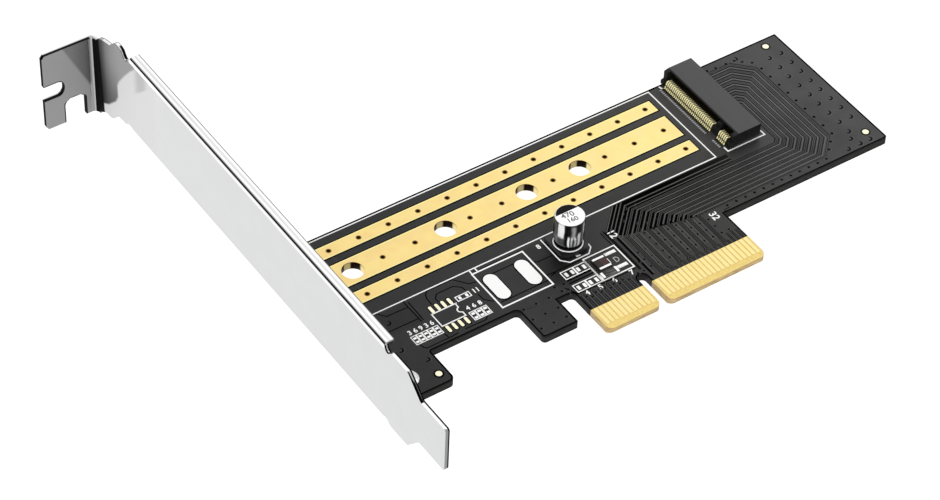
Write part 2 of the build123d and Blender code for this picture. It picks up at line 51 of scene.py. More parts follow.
# ------------------------------------------------------------------ node helpers
class Mat:
    """A small wrapper that builds one node material."""

    def __init__(self, name):
        self.m = bpy.data.materials.new(name)
        self.m.use_nodes = True
        self.t = self.m.node_tree
        self.t.nodes.clear()
        self.out = self.t.nodes.new("ShaderNodeOutputMaterial")
        self.b = self.t.nodes.new("ShaderNodeBsdfPrincipled")
        self.t.links.new(self.b.outputs[0], self.out.inputs[0])
        self.tc = self.t.nodes.new("ShaderNodeTexCoord")
        self.n = 0

    def new(self, kind, **kw):
        nd = self.t.nodes.new(kind)
        self.n += 1
        nd.location = (-220 * (self.n % 8), -180 * (self.n // 8))
        for k, v in kw.items():
            setattr(nd, k, v)
        return nd

    def link(self, a, b):
        self.t.links.new(a, b)

    def put(self, sock, v):
        if isinstance(v, bpy.types.NodeSocket):
            self.link(v, sock)
        else:
            sock.default_value = v

    def math(self, op, a, b=None, c=None, clamp=False):
        nd = self.new("ShaderNodeMath", operation=op, use_clamp=clamp)
        self.put(nd.inputs[0], a)
        if b is not None:
            self.put(nd.inputs[1], b)
        if c is not None:
            self.put(nd.inputs[2], c)
        return nd.outputs[0]

    def obj(self):
        """x, y, z in millimetres about the retention hole."""
        if not hasattr(self, "_xyz"):
            mp = self.new("ShaderNodeMapping", vector_type="POINT")
            mp.inputs["Location"].default_value = (SX, SY, -SZ)
            mp.inputs["Scale"].default_value = (1000, 1000, 1000)
            self.link(self.tc.outputs["Object"], mp.inputs["Vector"])
            self._vec = mp.outputs[0]
            sp = self.new("ShaderNodeSeparateXYZ")
            self.link(self._vec, sp.inputs[0])
            self._xyz = sp.outputs
        return self._xyz

    def vec(self, scale=(1, 1, 1), loc=(0, 0, 0), rot=(0, 0, 0)):
        self.obj()
        mp = self.new("ShaderNodeMapping", vector_type="POINT")
        mp.inputs["Location"].default_value = loc
        mp.inputs["Rotation"].default_value = rot
        mp.inputs["Scale"].default_value = scale
        self.link(self._vec, mp.inputs["Vector"])
        return mp.outputs[0]

    def noise(self, scale, detail=3.0, rough=0.55, vec=None, dist=0.0):
        nd = self.new("ShaderNodeTexNoise")
        self.put(nd.inputs["Vector"], vec if vec is not None else self.vec())
        nd.inputs["Scale"].default_value = scale
        nd.inputs["Detail"].default_value = detail
        nd.inputs["Roughness"].default_value = rough
        nd.inputs["Distortion"].default_value = dist
        return nd.outputs[0]

    def ramp(self, fac, a, b, lo=0.0, hi=1.0, smooth=True):
        nd = self.new("ShaderNodeMapRange", clamp=True)
        nd.interpolation_type = "SMOOTHSTEP" if smooth else "LINEAR"
        self.put(nd.inputs[0], fac)
        nd.inputs[1].default_value = a
        nd.inputs[2].default_value = b
        nd.inputs[3].default_value = lo
        nd.inputs[4].default_value = hi
        return nd.outputs[0]

    def mixc(self, fac, a, b, mode="MIX"):
        nd = self.new("ShaderNodeMix", data_type="RGBA", blend_type=mode)
        self.put(nd.inputs[0], fac)
        for s, v in ((nd.inputs[6], a), (nd.inputs[7], b)):
            if isinstance(v, bpy.types.NodeSocket):
                self.link(v, s)
            else:
                s.default_value = tuple(v) + ((1.0,) if len(v) == 3 else ())
        return nd.outputs[2]

    def mixf(self, fac, a, b):
        nd = self.new("ShaderNodeMix", data_type="FLOAT")
        self.put(nd.inputs[0], fac)
        self.put(nd.inputs[2], a)
        self.put(nd.inputs[3], b)
        return nd.outputs[0]

    def bump(self, height, strength, dist_mm, normal=None):
        nd = self.new("ShaderNodeBump")
        nd.inputs["Strength"].default_value = strength
        nd.inputs["Distance"].default_value = dist_mm * 0.001
        self.put(nd.inputs["Height"], height)
        if normal is not None:
            self.link(normal, nd.inputs["Normal"])
        return nd.outputs[0]

    def set(self, **kw):
        names = {"color": "Base Color", "rough": "Roughness", "metal": "Metallic", "spec": "Specular IOR Level",
                 "normal": "Normal", "aniso": "Anisotropic", "coat": "Coat Weight", "coatr": "Coat Roughness", "ior": "IOR"}
        for k, v in kw.items():
            s = self.b.inputs[names[k]]
            if k == "color" and not isinstance(v, bpy.types.NodeSocket):
                v = tuple(v) + (1.0,)
            self.put(s, v)
        return self


def inside(m, s, lo, hi, soft=0.02):
    """1 where the socket s is between lo and hi."""
    a = m.ramp(s, lo - soft, lo + soft, smooth=False)
    b = m.ramp(s, hi - soft, hi + soft, 1.0, 0.0, smooth=False)
    return m.math("MULTIPLY", a, b)


# ------------------------------------------------------------------ materials
HOLES = [(0.0, 0.0), (20.0, 0.0), (38.0, 0.0), (50.0, 0.0)]
GOLD = (0.93, 0.70, 0.30)


def mask_material(name, dark=0.0, lift=0.0, zones=True):
    """Black solder mask over laminate. dark 1 is the mask where there is no copper under it, lift is copper close under it."""
    m = Mat(name)
    x, y, z = m.obj()
    # the mask lightens from left to right, in both variants: partly its own tone, partly a painted lighting gradient
    along = m.ramp(x, 5.0, 100.0)
    cloth_a = m.noise(1.0, 1.0, 0.4, m.vec((0.35, 3.2, 0.5)))
    cloth_b = m.noise(1.0, 1.0, 0.4, m.vec((3.2, 0.35, 0.5), (4.0, 9.0, 0)))
    cloth = m.math("MULTIPLY_ADD", cloth_a, 0.5, m.math("MULTIPLY", cloth_b, 0.5))
    blot = m.noise(0.22, 3.0, 0.6)
    grain = m.noise(9.0, 2.0, 0.6)
    near = [0.0085, 0.0087, 0.0093]
    far = [0.040, 0.0395, 0.0405]
    near = [c + lift for c in near]
    far = [c + lift for c in far]
    if dark:
        near, far = (0.0012, 0.0012, 0.0013), (0.0230, 0.0228, 0.0232)
        along = m.ramp(x, 58.0, 92.0)
    col = m.mixc(along, near, far)
    if not dark:
        mid = m.math("MULTIPLY", m.ramp(x, 22.0, 46.0), m.ramp(x, 84.0, 72.0))
        low = m.math("MULTIPLY", m.ramp(y, -6.0, -10.0), m.ramp(x, 20.0, 44.0))
        col = m.mixc(mid, col, m.mixc(1.0, col, (0.84, 0.82, 0.76), "MULTIPLY"))
        col = m.mixc(m.math("MULTIPLY", low, m.ramp(x, 101.0, 96.0)), col, m.mixc(1.0, col, (0.77, 0.77, 0.77), "MULTIPLY"))
        patch = m.math("MULTIPLY", m.math("MULTIPLY", m.ramp(x, 26.5, 29.0), m.ramp(x, 35.0, 32.5)), m.math("MULTIPLY", m.ramp(y, -11.5, -13.0), m.ramp(y, -24.0, -22.0)))
        near_foot = m.math("MULTIPLY", m.math("MULTIPLY", m.ramp(x, -6.0, -3.0), m.ramp(x, 4.6, 3.0)), m.math("MULTIPLY", m.ramp(y, -11.0, -12.5), m.ramp(y, -18.0, -16.5)))
        patch = m.math("MAXIMUM", patch, near_foot)
        col = m.mixc(patch, col, m.mixc(1.0, col, (0.25, 0.25, 0.25), "MULTIPLY"))
        if lift == 0.011:
            quiet = m.math("MULTIPLY", m.math("MULTIPLY", m.ramp(x, 58.0, 62.0), m.ramp(x, 92.0, 88.0)), m.ramp(y, -12.5, -14.5))
            col = m.mixc(quiet, col, m.mixc(1.0, col, (0.55, 0.55, 0.55), "MULTIPLY"))
    col = m.mixc(m.ramp(blot, 0.35, 0.70), col, m.mixc(1.0, col, (0.86, 0.86, 0.88), "MULTIPLY"))
    col = m.mixc(m.ramp(cloth, 0.45, 0.62, 0.0, 0.35), col, m.mixc(1.0, col, (1.18, 1.18, 1.16), "MULTIPLY"))
    rough = m.math("MULTIPLY_ADD", m.ramp(blot, 0.3, 0.7), 0.06, 0.40 if not dark else 0.52)
    rough = m.math("MULTIPLY_ADD", grain, 0.05, rough)
    nrm = m.bump(grain, 0.16, 0.02)
    nrm = m.bump(cloth, 0.30, 0.02, nrm)
    nrm = m.bump(m.noise(0.9, 2.0, 0.5), 0.10, 0.05, nrm)
    metal = 0.0
    if zones:
        # the tongue is bare: gold-tinted laminate from the contacts down, on both faces and its walls
        nsep = m.new("ShaderNodeSeparateXYZ")
        m.link(m.tc.outputs["Normal"], nsep.inputs[0])
        side = m.ramp(m.math("ABSOLUTE", nsep.outputs[2]), 0.35, 0.65, 1.0, 0.0)
        tongue = m.math("MULTIPLY", m.ramp(y, -31.02, -30.98, 1.0, 0.0, smooth=False), inside(m, x, 30.2, 65.6))
        # walls and drill walls show the pressed glass layers
        layers = m.noise(1.0, 2.0, 0.5, m.vec((0.5, 0.5, 9.0)))
        wall = m.mixc(m.ramp(layers, 0.35, 0.65), (0.008, 0.0078, 0.0075), (0.026, 0.0245, 0.022))
        # painted shade: black lines along the top and bottom edges of the routed wall
        painted_edge_shade = m.math("MAXIMUM", m.ramp(z, -0.30, -0.20), m.ramp(z, -1.22, -1.34))
        wall = m.mixc(painted_edge_shade, wall, (0.0015, 0.0015, 0.0016))
        col = m.mixc(side, col, wall)
        rough = m.mixf(side, rough, 0.62)
        tan = m.mixc(m.ramp(m.noise(2.5, 3.0, 0.6), 0.35, 0.65), (0.62, 0.465, 0.145), (0.72, 0.545, 0.175))
        tanw = m.mixc(m.ramp(layers, 0.38, 0.62), (0.27, 0.19, 0.085), (0.50, 0.36, 0.17))
        tan = m.mixc(side, tan, tanw)
        col = m.mixc(tongue, col, tan)
        rough = m.mixf(tongue, rough, 0.45)
        # plated barrels of the retention holes
        near_hole, painted_barrel_glint = None, None
        for hx, hy in HOLES:
            dx = m.math("SUBTRACT", x, hx)
            dy = m.math("SUBTRACT", y, hy)
            d = m.math("SQRT", m.math("ADD", m.math("MULTIPLY", dx, dx), m.math("MULTIPLY", dy, dy)))
            near_hole = d if near_hole is None else m.math("MINIMUM", near_hole, d)
            # painted reflections round the barrel: bright and dark arcs by angle
            a = m.math("DIVIDE", m.math("ARCTAN2", dy, dx), math.pi / 180.0)
            w = m.math("ADD", inside(m, a, 70.0, 106.0, 4.0), m.math("ADD", inside(m, a, -36.0, 17.0, 4.0), inside(m, a, -150.0, -95.0, 8.0)))
            w = m.math("MULTIPLY", w, m.ramp(d, 2.6, 2.7, 1.0, 0.0))
            painted_barrel_glint = w if painted_barrel_glint is None else m.math("MAXIMUM", painted_barrel_glint, w)
        barrel = m.ramp(near_hole, 2.14, 2.16, 1.0, 0.0, smooth=False)
        painted_barrel_glint = m.math("MULTIPLY", painted_barrel_glint, m.ramp(z, -0.02, -0.16))
        plate = m.mixc(painted_barrel_glint, (0.020, 0.008, 0.006), (0.98, 0.80, 0.36))
        col = m.mixc(barrel, col, plate)
        rough = m.mixf(barrel, rough, 0.30)
        metal = barrel
        # tinned barrel of the open fixing hole
        dx = m.math("SUBTRACT", x, -6.30)
        dy = m.math("SUBTRACT", y, -27.30)
        d = m.math("SQRT", m.math("ADD", m.math("MULTIPLY", dx, dx), m.math("MULTIPLY", dy, dy)))
        tinned = m.math("MULTIPLY", m.ramp(d, 2.13, 2.15, 1.0, 0.0, smooth=False), m.ramp(z, -0.04, -0.14))
        col = m.mixc(tinned, col, (0.96, 0.96, 0.95))
        rough = m.mixf(tinned, rough, 0.45)
    m.set(color=col, rough=rough, spec=0.0 if dark else (0.46 if lift else 0.34), normal=nrm, metal=metal)
    return m.m


STRIP_EDGES = (4.98, 8.04, -3.05, 3.05, -7.84, -4.78)


def gold_material(name, base=GOLD, rough=0.36, warm=True, grain_amp=0.20):
    m = Mat(name)
    x, y, z = m.obj()
    cells = m.noise(14.0, 3.0, 0.65)
    cloud = m.noise(0.35, 2.0, 0.5)
    col = m.mixc(m.ramp(cloud, 0.3, 0.7), tuple(c * s for c, s in zip(base, (1.0, 0.985, 0.94))), tuple(c * s for c, s in zip(base, (1.0, 1.02, 1.07))))
    if warm:
        col = m.mixc(m.ramp(x, 0.0, 72.0), m.mixc(1.0, col, (1.0, 0.995, 0.96), "MULTIPLY"), m.mixc(1.0, col, (1.0, 1.06, 1.05), "MULTIPLY"))
        # a painted highlight: a paler line along the strips' edges
        near = None
        for e in STRIP_EDGES:
            q = m.math("ABSOLUTE", m.math("SUBTRACT", y, e))
            near = q if near is None else m.math("MINIMUM", near, q)
        col = m.mixc(m.ramp(near, 0.34, 0.16, 0.0, 0.75), col, (1.0, 0.92, 0.42))
        col = m.mixc(m.ramp(m.noise(0.25, 2.0, 0.5, m.vec((1, 1, 1), (31.0, 7.0, 0))), 0.40, 0.70, 0.0, 0.5), col, (0.99, 0.80, 0.30))
    nrm = m.bump(cells, grain_amp, 0.010)
    nrm = m.bump(m.noise(2.2, 2.0, 0.5), 0.10, 0.02, nrm)
    m.set(color=col, metal=1.0, rough=m.math("MULTIPLY_ADD", cells, 0.14, rough - 0.07), normal=nrm)
    return m.m


def tin_material(name, base=(0.93, 0.93, 0.925), rough=0.34, metal=1.0):
    m = Mat(name)
    lump = m.noise(1.3, 2.0, 0.5)
    fine = m.noise(12.0, 3.0, 0.6)
    nrm = m.bump(lump, 0.35, 0.03)
    nrm = m.bump(fine, 0.12, 0.01, nrm)
    col = m.mixc(m.ramp(fine, 0.3, 0.7), [c * 0.96 for c in base], base)
    m.set(color=col, metal=metal, rough=m.math("MULTIPLY_ADD", fine, 0.10, rough - 0.05), normal=nrm)
    return m.m


def plastic_material(name, base, rough, spec=0.55, grain=0.25, pit=18.0):
    m = Mat(name)
    tex = m.noise(pit, 3.0, 0.6)
    flow = m.noise(0.6, 2.0, 0.5, m.vec((1.0, 0.25, 1.0)))
    col = m.mixc(m.ramp(flow, 0.3, 0.7), [c * 0.85 for c in base], [c * 1.12 for c in base])
    nrm = m.bump(tex, grain, 0.010)
    m.set(color=col, rough=m.math("MULTIPLY_ADD", tex, 0.12, rough - 0.06), spec=spec, normal=nrm)
    return m.m


def steel_material(name):
    """Bright nickel-plated sheet: faint rolling lines along the bracket, a soft cloud in the plate."""
    m = Mat(name)
    lines = m.noise(1.0, 2.0, 0.6, m.vec((24.0, 0.35, 24.0)))
    cloud = m.noise(0.16, 3.0, 0.55)
    peel = m.noise(1.6, 2.0, 0.5)
    speck = m.noise(16.0, 2.0, 0.6)
    x, y, z = m.obj()
    nsep = m.new("ShaderNodeSeparateXYZ")
    m.link(m.tc.outputs["Normal"], nsep.inputs[0])
    nx, ny, nz = nsep.outputs
    ax, ay, az = (m.math("ABSOLUTE", q) for q in (nx, ny, nz))
    col = m.mixc(m.ramp(cloud, 0.32, 0.68), (0.712, 0.714, 0.718), (0.727, 0.729, 0.732))
    # painted shade towards the sharp bend of the tab: darker in the bend and along the last of the face
    face = m.math("MULTIPLY", m.ramp(ax, 0.75, 0.92), m.ramp(x, -12.40, -12.50))
    # painted reflection towards the tab: a pale lit field with a grey one beyond it, darker low down, black in the bend
    painted_reflection_zone = m.math("MULTIPLY", face, m.ramp(y, 45.0, 49.0))
    edge_ = None
    for z0_, z1_, drop in ((-6.6, -5.6, 0.0), (-5.8, -4.5, 2.1), (-4.5, -1.5, 2.9), (-1.5, 0.3, 0.95), (3.3, 4.8, 0.75), (4.8, 7.7, 2.1), (7.7, 10.7, 2.45), (10.7, 12.4, 1.6)):
        q = m.ramp(z, z0_, z1_, 0.0, drop, smooth=False) if drop else None
        if q is not None:
            edge_ = q if edge_ is None else m.math("ADD", edge_, q)
    edge_ = m.math("SUBTRACT", 68.2, edge_)
    lit = m.ramp(m.math("SUBTRACT", y, edge_), -0.45, 0.35, 1.0, 0.0)
    grey = None
    for y0_, y1_, step_ in ((61.0, 64.5, 0.030), (64.0, 66.2, 0.055), (66.0, 67.2, 0.075), (67.0, 68.2, 0.060)):
        q = m.ramp(y, y0_, y1_, 0.0, step_)
        grey = q if grey is None else m.math("ADD", grey, q)
    grey = m.math("SUBTRACT", 0.285, grey)
    grey = m.math("MULTIPLY", grey, m.ramp(z, -4.0, 8.5, 0.42, 1.0))
    notch_ = m.math("MULTIPLY", m.ramp(y, 49.6, 52.6), m.ramp(m.math("SUBTRACT", y, 55.2), -1.6, 1.2, 1.0, 0.0))
    notch_ = m.math("MULTIPLY", notch_, m.ramp(m.math("MULTIPLY_ADD", y, 0.94, z), 58.0, 58.9))
    val = m.mixf(lit, grey, m.math("MULTIPLY_ADD", notch_, -0.15, 0.585))
    comb = m.new("ShaderNodeCombineColor")
    for q in range(3):
        m.link(val, comb.inputs[q])
    col = m.mixc(painted_reflection_zone, col, comb.outputs[0])
    # painted shade: black along the face next to the bend
    black = m.math("MULTIPLY", face, m.ramp(m.math("MULTIPLY_ADD", z, -0.045, y), 68.10, 68.55))
    col = m.mixc(black, col, (0.006, 0.006, 0.006))
    # painted reflection on the tab's underside: a grey field with a darker triangle, darkest near the bend
    under = m.math("MULTIPLY", m.ramp(y, 70.86, 70.93), m.ramp(ay, 0.75, 0.92))
    under = m.math("MULTIPLY", under, m.ramp(y, 71.30, 71.20))
    under = m.math("MULTIPLY", under, m.ramp(x, -13.74, -13.80))
    tri = m.ramp(m.math("MULTIPLY_ADD", x, 2.105, z), -32.3, -30.7)
    deep = m.math("MULTIPLY", m.ramp(x, -17.5, -14.4, 0.158, 0.115, smooth=False), m.ramp(x, -14.6, -13.8, 1.0, 0.80))
    val = m.mixf(tri, 0.262, deep)
    comb = m.new("ShaderNodeCombineColor")
    for q in range(3):
        m.link(val, comb.inputs[q])
    col = m.mixc(under, col, comb.outputs[0])
    # inside of the bend: painted black shade with a painted highlight stripe beside the tab, and painted shade higher
    # up
    bx = m.math("SUBTRACT", x, -13.77)
    by = m.math("SUBTRACT", y, 69.76)
    ang = m.math("DIVIDE", m.math("ARCTAN2", by, bx), math.pi / 180.0)
    rad = m.math("SQRT", m.math("ADD", m.math("MULTIPLY", bx, bx), m.math("MULTIPLY", by, by)))
    inbend = m.math("MULTIPLY", m.ramp(bx, -0.02, 0.02), m.ramp(by, -0.02, 0.02))
    inbend = m.math("MULTIPLY", inbend, m.ramp(rad, 1.34, 1.28))
    painted_bend_black = m.math("MULTIPLY", inbend, m.ramp(ang, 49.5, 45.0))
    col = m.mixc(painted_bend_black, col, (0.006, 0.006, 0.006))
    painted_bend_highlight = m.math("MULTIPLY", inbend, m.math("MULTIPLY", m.ramp(ang, 46.0, 50.0), m.ramp(ang, 63.0, 56.0)))
    col = m.mixc(m.math("MULTIPLY", m.math("MULTIPLY", inbend, m.ramp(z, -3.5, -1.0)), m.ramp(ang, 66.0, 74.0)), col, m.mixc(1.0, col, (0.55, 0.55, 0.55), "MULTIPLY"))
    col = m.mixc(painted_bend_highlight, col, (0.42, 0.42, 0.425))
    # sheared edges of the tab: painted shade on the near side, a painted highlight behind it
    tabside = m.math("MULTIPLY", m.ramp(x, -13.10, -13.25), m.ramp(ay, 0.80, 0.62))
    tabside = m.math("MULTIPLY", tabside, m.ramp(az, 0.10, 0.20))
    tabside = m.math("MAXIMUM", tabside, m.math("MULTIPLY", m.ramp(x, -13.60, -13.70), m.ramp(ay, 0.80, 0.62)))
    limit = m.ramp(az, 0.30, 0.45, 71.24, 71.50)
    painted_cut_edge_shade = m.math("MULTIPLY", tabside, m.math("MULTIPLY", m.ramp(m.math("SUBTRACT", y, limit), 0.12, 0.0), m.ramp(y, 69.80, 69.95)))
    col = m.mixc(painted_cut_edge_shade, col, (0.006, 0.006, 0.006))
    # painted shade: dark outlines round the tab's slot and notch
    near_tab = m.math("MULTIPLY", m.ramp(y, 70.86, 70.93), m.ramp(y, 71.10, 71.02))
    nx_ = m.math("ABSOLUTE", m.math("SUBTRACT", x, -17.10))
    nz_ = m.math("MAXIMUM", m.math("ADD", z, 5.30), 0.0)
    rr = m.math("SQRT", m.math("ADD", m.math("MULTIPLY", m.math("DIVIDE", nx_, 2.21), m.math("DIVIDE", nx_, 2.21)), m.math("MULTIPLY", m.math("DIVIDE", nz_, 1.30), m.math("DIVIDE", nz_, 1.30))))
    ring_ = m.math("MULTIPLY", m.ramp(rr, 1.13, 1.09), m.ramp(rr, 0.95, 0.97))
    sz = m.math("SUBTRACT", z, -0.55)
    sx_ = m.math("MAXIMUM", m.math("SUBTRACT", x, -20.50), 0.0)
    sr = m.math("SQRT", m.math("ADD", m.math("MULTIPLY", m.math("DIVIDE", sx_, 1.20), m.math("DIVIDE", sx_, 1.20)), m.math("MULTIPLY", m.math("DIVIDE", sz, 1.70), m.math("DIVIDE", sz, 1.70))))
    ring_ = m.math("MAXIMUM", ring_, m.math("MULTIPLY", m.ramp(sr, 1.15, 1.10), m.ramp(sr, 0.95, 0.97)))
    col = m.mixc(m.math("MULTIPLY", ring_, near_tab), col, (0.012, 0.012, 0.012))
    # the face's cut edge: a painted highlight with a painted dark line behind it, painted black below the flange and on
    # the slope
    cut = m.math("MULTIPLY", m.ramp(ax, 0.62, 0.45), m.ramp(x, -12.80, -12.70))
    hi_ = m.math("MULTIPLY", cut, m.math("MULTIPLY", m.ramp(y, 57.05, 57.15), m.ramp(z, 8.6, 8.8)))
    col = m.mixc(hi_, col, (1.0, 1.0, 1.0))
    painted_edge_dark_line = m.math("MAXIMUM", m.ramp(x, -11.90, -11.82), m.ramp(x, -12.44, -12.50))
    col = m.mixc(m.math("MULTIPLY", hi_, painted_edge_dark_line), col, (0.18, 0.18, 0.18))
    seg = m.math("MULTIPLY", inside(m, y, 58.7, 61.3, 0.2), m.ramp(x, -12.30, -12.22))
    col = m.mixc(m.math("MULTIPLY", hi_, seg), col, (0.004, 0.004, 0.004))
    lo_ = m.math("MULTIPLY", cut, m.ramp(y, -29.22, -29.28))
    col = m.mixc(m.math("MULTIPLY", lo_, m.ramp(x, -12.05, -11.97)), col, (0.004, 0.004, 0.004))
    painted_edge_highlight = m.math("MULTIPLY", lo_, m.math("MULTIPLY", m.ramp(x, -12.02, -12.08), m.ramp(z, 9.3, 9.6)))
    col = m.mixc(painted_edge_highlight, col, (1.0, 1.0, 1.0))
    col = m.mixc(m.math("MULTIPLY", m.math("MULTIPLY", painted_edge_highlight, m.ramp(y, -37.6, -38.1)), m.ramp(y, -40.9, -40.7)), col, (0.006, 0.006, 0.006))
    # painted shade along the outer half of the slope, widening downwards
    wide = m.ramp(y, -36.6, -40.6, -12.34, -12.02, smooth=False)
    slope_ = m.math("MULTIPLY", m.math("MULTIPLY", m.ramp(y, -36.35, -36.45), m.ramp(y, -40.9, -40.7)), m.ramp(m.math("SUBTRACT", x, wide), 0.06, -0.02))
    slope_ = m.math("MAXIMUM", slope_, m.math("MULTIPLY", m.ramp(y, -31.15, -31.05), m.ramp(x, -12.20, -12.28)))
    col = m.mixc(m.math("MULTIPLY", m.math("MULTIPLY", lo_, slope_), m.ramp(z, 9.3, 9.6)), col, (0.004, 0.004, 0.004))
    # painted highlight along the top of the bend
    bendtop = m.math("MULTIPLY", m.math("MULTIPLY", m.ramp(x, -13.25, -13.10), m.ramp(y, 69.60, 69.75)), m.math("MULTIPLY", m.ramp(nz, 0.5, 0.7), m.ramp(z, 8.6, 8.7)))
    col = m.mixc(bendtop, col, (1.0, 1.0, 1.0))
    # painted dark line at the end of the upper flange
    fend = m.math("MULTIPLY", m.math("MULTIPLY", m.ramp(y, -29.14, -29.18), m.ramp(y, -29.26, -29.22)), m.ramp(ay, 0.6, 0.8))
    col = m.mixc(m.math("MULTIPLY", fend, m.ramp(z, 13.75, 13.65)), col, (0.02, 0.02, 0.02))
    # painted highlights along the edges of the upper flange and of the face beside it
    zone = m.math("MULTIPLY", m.ramp(y, 57.4, 57.0), m.ramp(y, -29.6, -29.2))
    lf = m.math("MULTIPLY", m.math("MULTIPLY", inside(m, z, 12.86, 13.52, 0.06), face), zone)
    top = m.math("MULTIPLY", m.ramp(nz, 0.80, 0.95), m.ramp(z, 13.9, 14.0))
    fl = m.math("ADD", inside(m, x, -12.10, -11.66, 0.05), inside(m, x, -11.20, -10.74, 0.05))
    lf = m.math("ADD", lf, m.math("MULTIPLY", m.math("MULTIPLY", fl, top), zone), clamp=True)
    col = m.mixc(lf, col, (1.0, 1.0, 1.0))
    # painted sheen on the flange's top face, speckled
    col = m.mixc(m.math("MULTIPLY", m.math("MULTIPLY", top, zone), m.ramp(speck, 0.35, 0.75, 0.10, 0.55)), col, (0.93, 0.93, 0.93))
    # in the flange's bend: a painted highlight, then painted black shade
    arc_ = m.math("MULTIPLY", m.math("MULTIPLY", zone, m.ramp(x, -12.02, -12.08)), m.ramp(z, 13.50, 13.56))
    col = m.mixc(m.math("MULTIPLY", arc_, m.ramp(nz, 0.0, 0.06)), col, (1.0, 1.0, 1.0))
    col = m.mixc(m.math("MULTIPLY", arc_, inside(m, nz, 0.34, 0.78, 0.07)), col, (0.003, 0.003, 0.003))
    # painted shade along the flange's free edge
    free = m.math("MULTIPLY", m.math("MULTIPLY", m.ramp(x, -10.70, -10.62), m.ramp(x, -10.3, -10.4)), zone)
    col = m.mixc(free, col, (0.16, 0.16, 0.165))
    rough = m.math("MULTIPLY_ADD", lines, 0.05, 0.085)
    rough = m.math("MULTIPLY_ADD", m.ramp(cloud, 0.3, 0.7), 0.02, rough)
    nrm = m.bump(lines, 0.02, 0.006)
    nrm = m.bump(peel, 0.012, 0.02, nrm)
    nrm = m.bump(speck, 0.030, 0.005, nrm)
    # where reflections are painted the sheet is drawn mostly diffuse and rougher
    painted_reflection_zone = m.math("MAXIMUM", m.math("MAXIMUM", painted_reflection_zone, painted_bend_highlight), under)
    rough = m.mixf(painted_reflection_zone, rough, 0.35)
    m.set(color=col, metal=m.ramp(painted_reflection_zone, 0.0, 1.0, 1.0, 0.12, smooth=False), rough=rough, spec=0.0, normal=nrm)
    return m.m


# painted reflections on the can's wall, as bright streaks: from, to (degrees from +X), from z, to z, strength, softness
CAN_PAINTED_REFLECTIONS = [
    (-170.0, -145.0, 4.20, 7.40, 1.0, 3.0), (-178.0, -141.0, 1.7, 4.40, 0.20, 6.0), (-195.0, -174.0, 1.6, 7.4, 0.22, 5.0),
    (-130.0, -123.0, 1.9, 4.6, 0.95, 1.5), (-118.0, -100.0, 4.0, 7.2, 0.34, 5.0), (-118.0, -112.0, 1.8, 4.4, 0.50, 2.5),
    (-106.0, -97.0, 1.6, 4.4, 0.46, 3.0), (-92.0, -80.0, 1.6, 5.2, 0.60, 4.0), (-74.0, -58.0, 1.8, 7.2, 0.26, 5.0), (-64.0, -58.0, 4.6, 7.3, 0.45, 2.0),
    (20.0, 52.0, 2.6, 7.4, 0.8, 8.0), (84.0, 100.0, 2.2, 5.2, 0.4, 6.0), (112.0, 140.0, 2.6, 7.4, 0.6, 8.0), (-30.0, -6.0, 2.4, 7.2, 0.35, 7.0),
]


def can_material(name):
    m = Mat(name)
    x, y, z = m.obj()
    rings = m.noise(1.0, 2.0, 0.6, m.vec((0.6, 0.6, 16.0)))
    top = m.ramp(z, 7.42, 7.48)
    fine = m.noise(12.0, 3.0, 0.6)
    # painted reflection streaks up the wall
    ax = m.math("SUBTRACT", x, 36.40)
    ay = m.math("SUBTRACT", y, -15.35)
    ang = m.math("DIVIDE", m.math("ARCTAN2", ay, ax), math.pi / 180.0)
    wob = m.math("MULTIPLY", m.math("SUBTRACT", m.noise(0.6, 2.0, 0.5), 0.5), 7.0)
    a = m.math("ADD", ang, wob)
    painted_can_reflection = None
    for lo, hi, z0, z1, amt, soft in CAN_PAINTED_REFLECTIONS:
        for turn in (0.0, 360.0) if lo < -180.0 + soft else (0.0,):
            q = m.math("MULTIPLY", inside(m, a, lo + turn, hi + turn, soft), amt)
            q = m.math("MULTIPLY", q, inside(m, z, z0, z1, 0.35))
            painted_can_reflection = q if painted_can_reflection is None else m.math("ADD", painted_can_reflection, q)
    painted_can_reflection = m.math("ADD", painted_can_reflection, 0.03)
    painted_can_reflection = m.math("MULTIPLY", painted_can_reflection, m.ramp(z, 1.25, 1.90))
    # painted glint round the foot of the can
    painted_foot_glint = m.ramp(z, 1.07, 0.95)
    painted_can_reflection = m.math("MAXIMUM", painted_can_reflection, painted_foot_glint, clamp=True)
    # the wall between the streaks: a dark mirror, painted dark reflection
    wall = m.mixc(painted_can_reflection, (0.012, 0.012, 0.013), (0.97, 0.975, 0.98))
    col = m.mixc(top, wall, (0.93, 0.93, 0.93))
    rough = m.mixf(top, m.math("MULTIPLY_ADD", rings, 0.05, 0.30), m.math("MULTIPLY_ADD", fine, 0.1, 0.42))
    nrm = m.bump(rings, 0.06, 0.012)
    nrm = m.bump(fine, 0.05, 0.010, nrm)
    # diffuse where the painted reflection streaks are, mirror-like between
    metal = m.mixf(top, m.ramp(painted_can_reflection, 0.0, 0.6, 1.0, 0.12), 0.25)
    m.set(color=col, metal=metal, rough=rough, normal=nrm)
    return m.m


def ink_material(name, base, rough=0.55, spec=0.4):
    m = Mat(name)
    fine = m.noise(10.0, 3.0, 0.6)
    col = m.mixc(m.ramp(fine, 0.3, 0.75), base, [c * 0.88 for c in base])
    m.set(color=col, rough=m.math("MULTIPLY_ADD", fine, 0.12, rough - 0.06), spec=spec, normal=m.bump(fine, 0.25, 0.012))
    return m.m


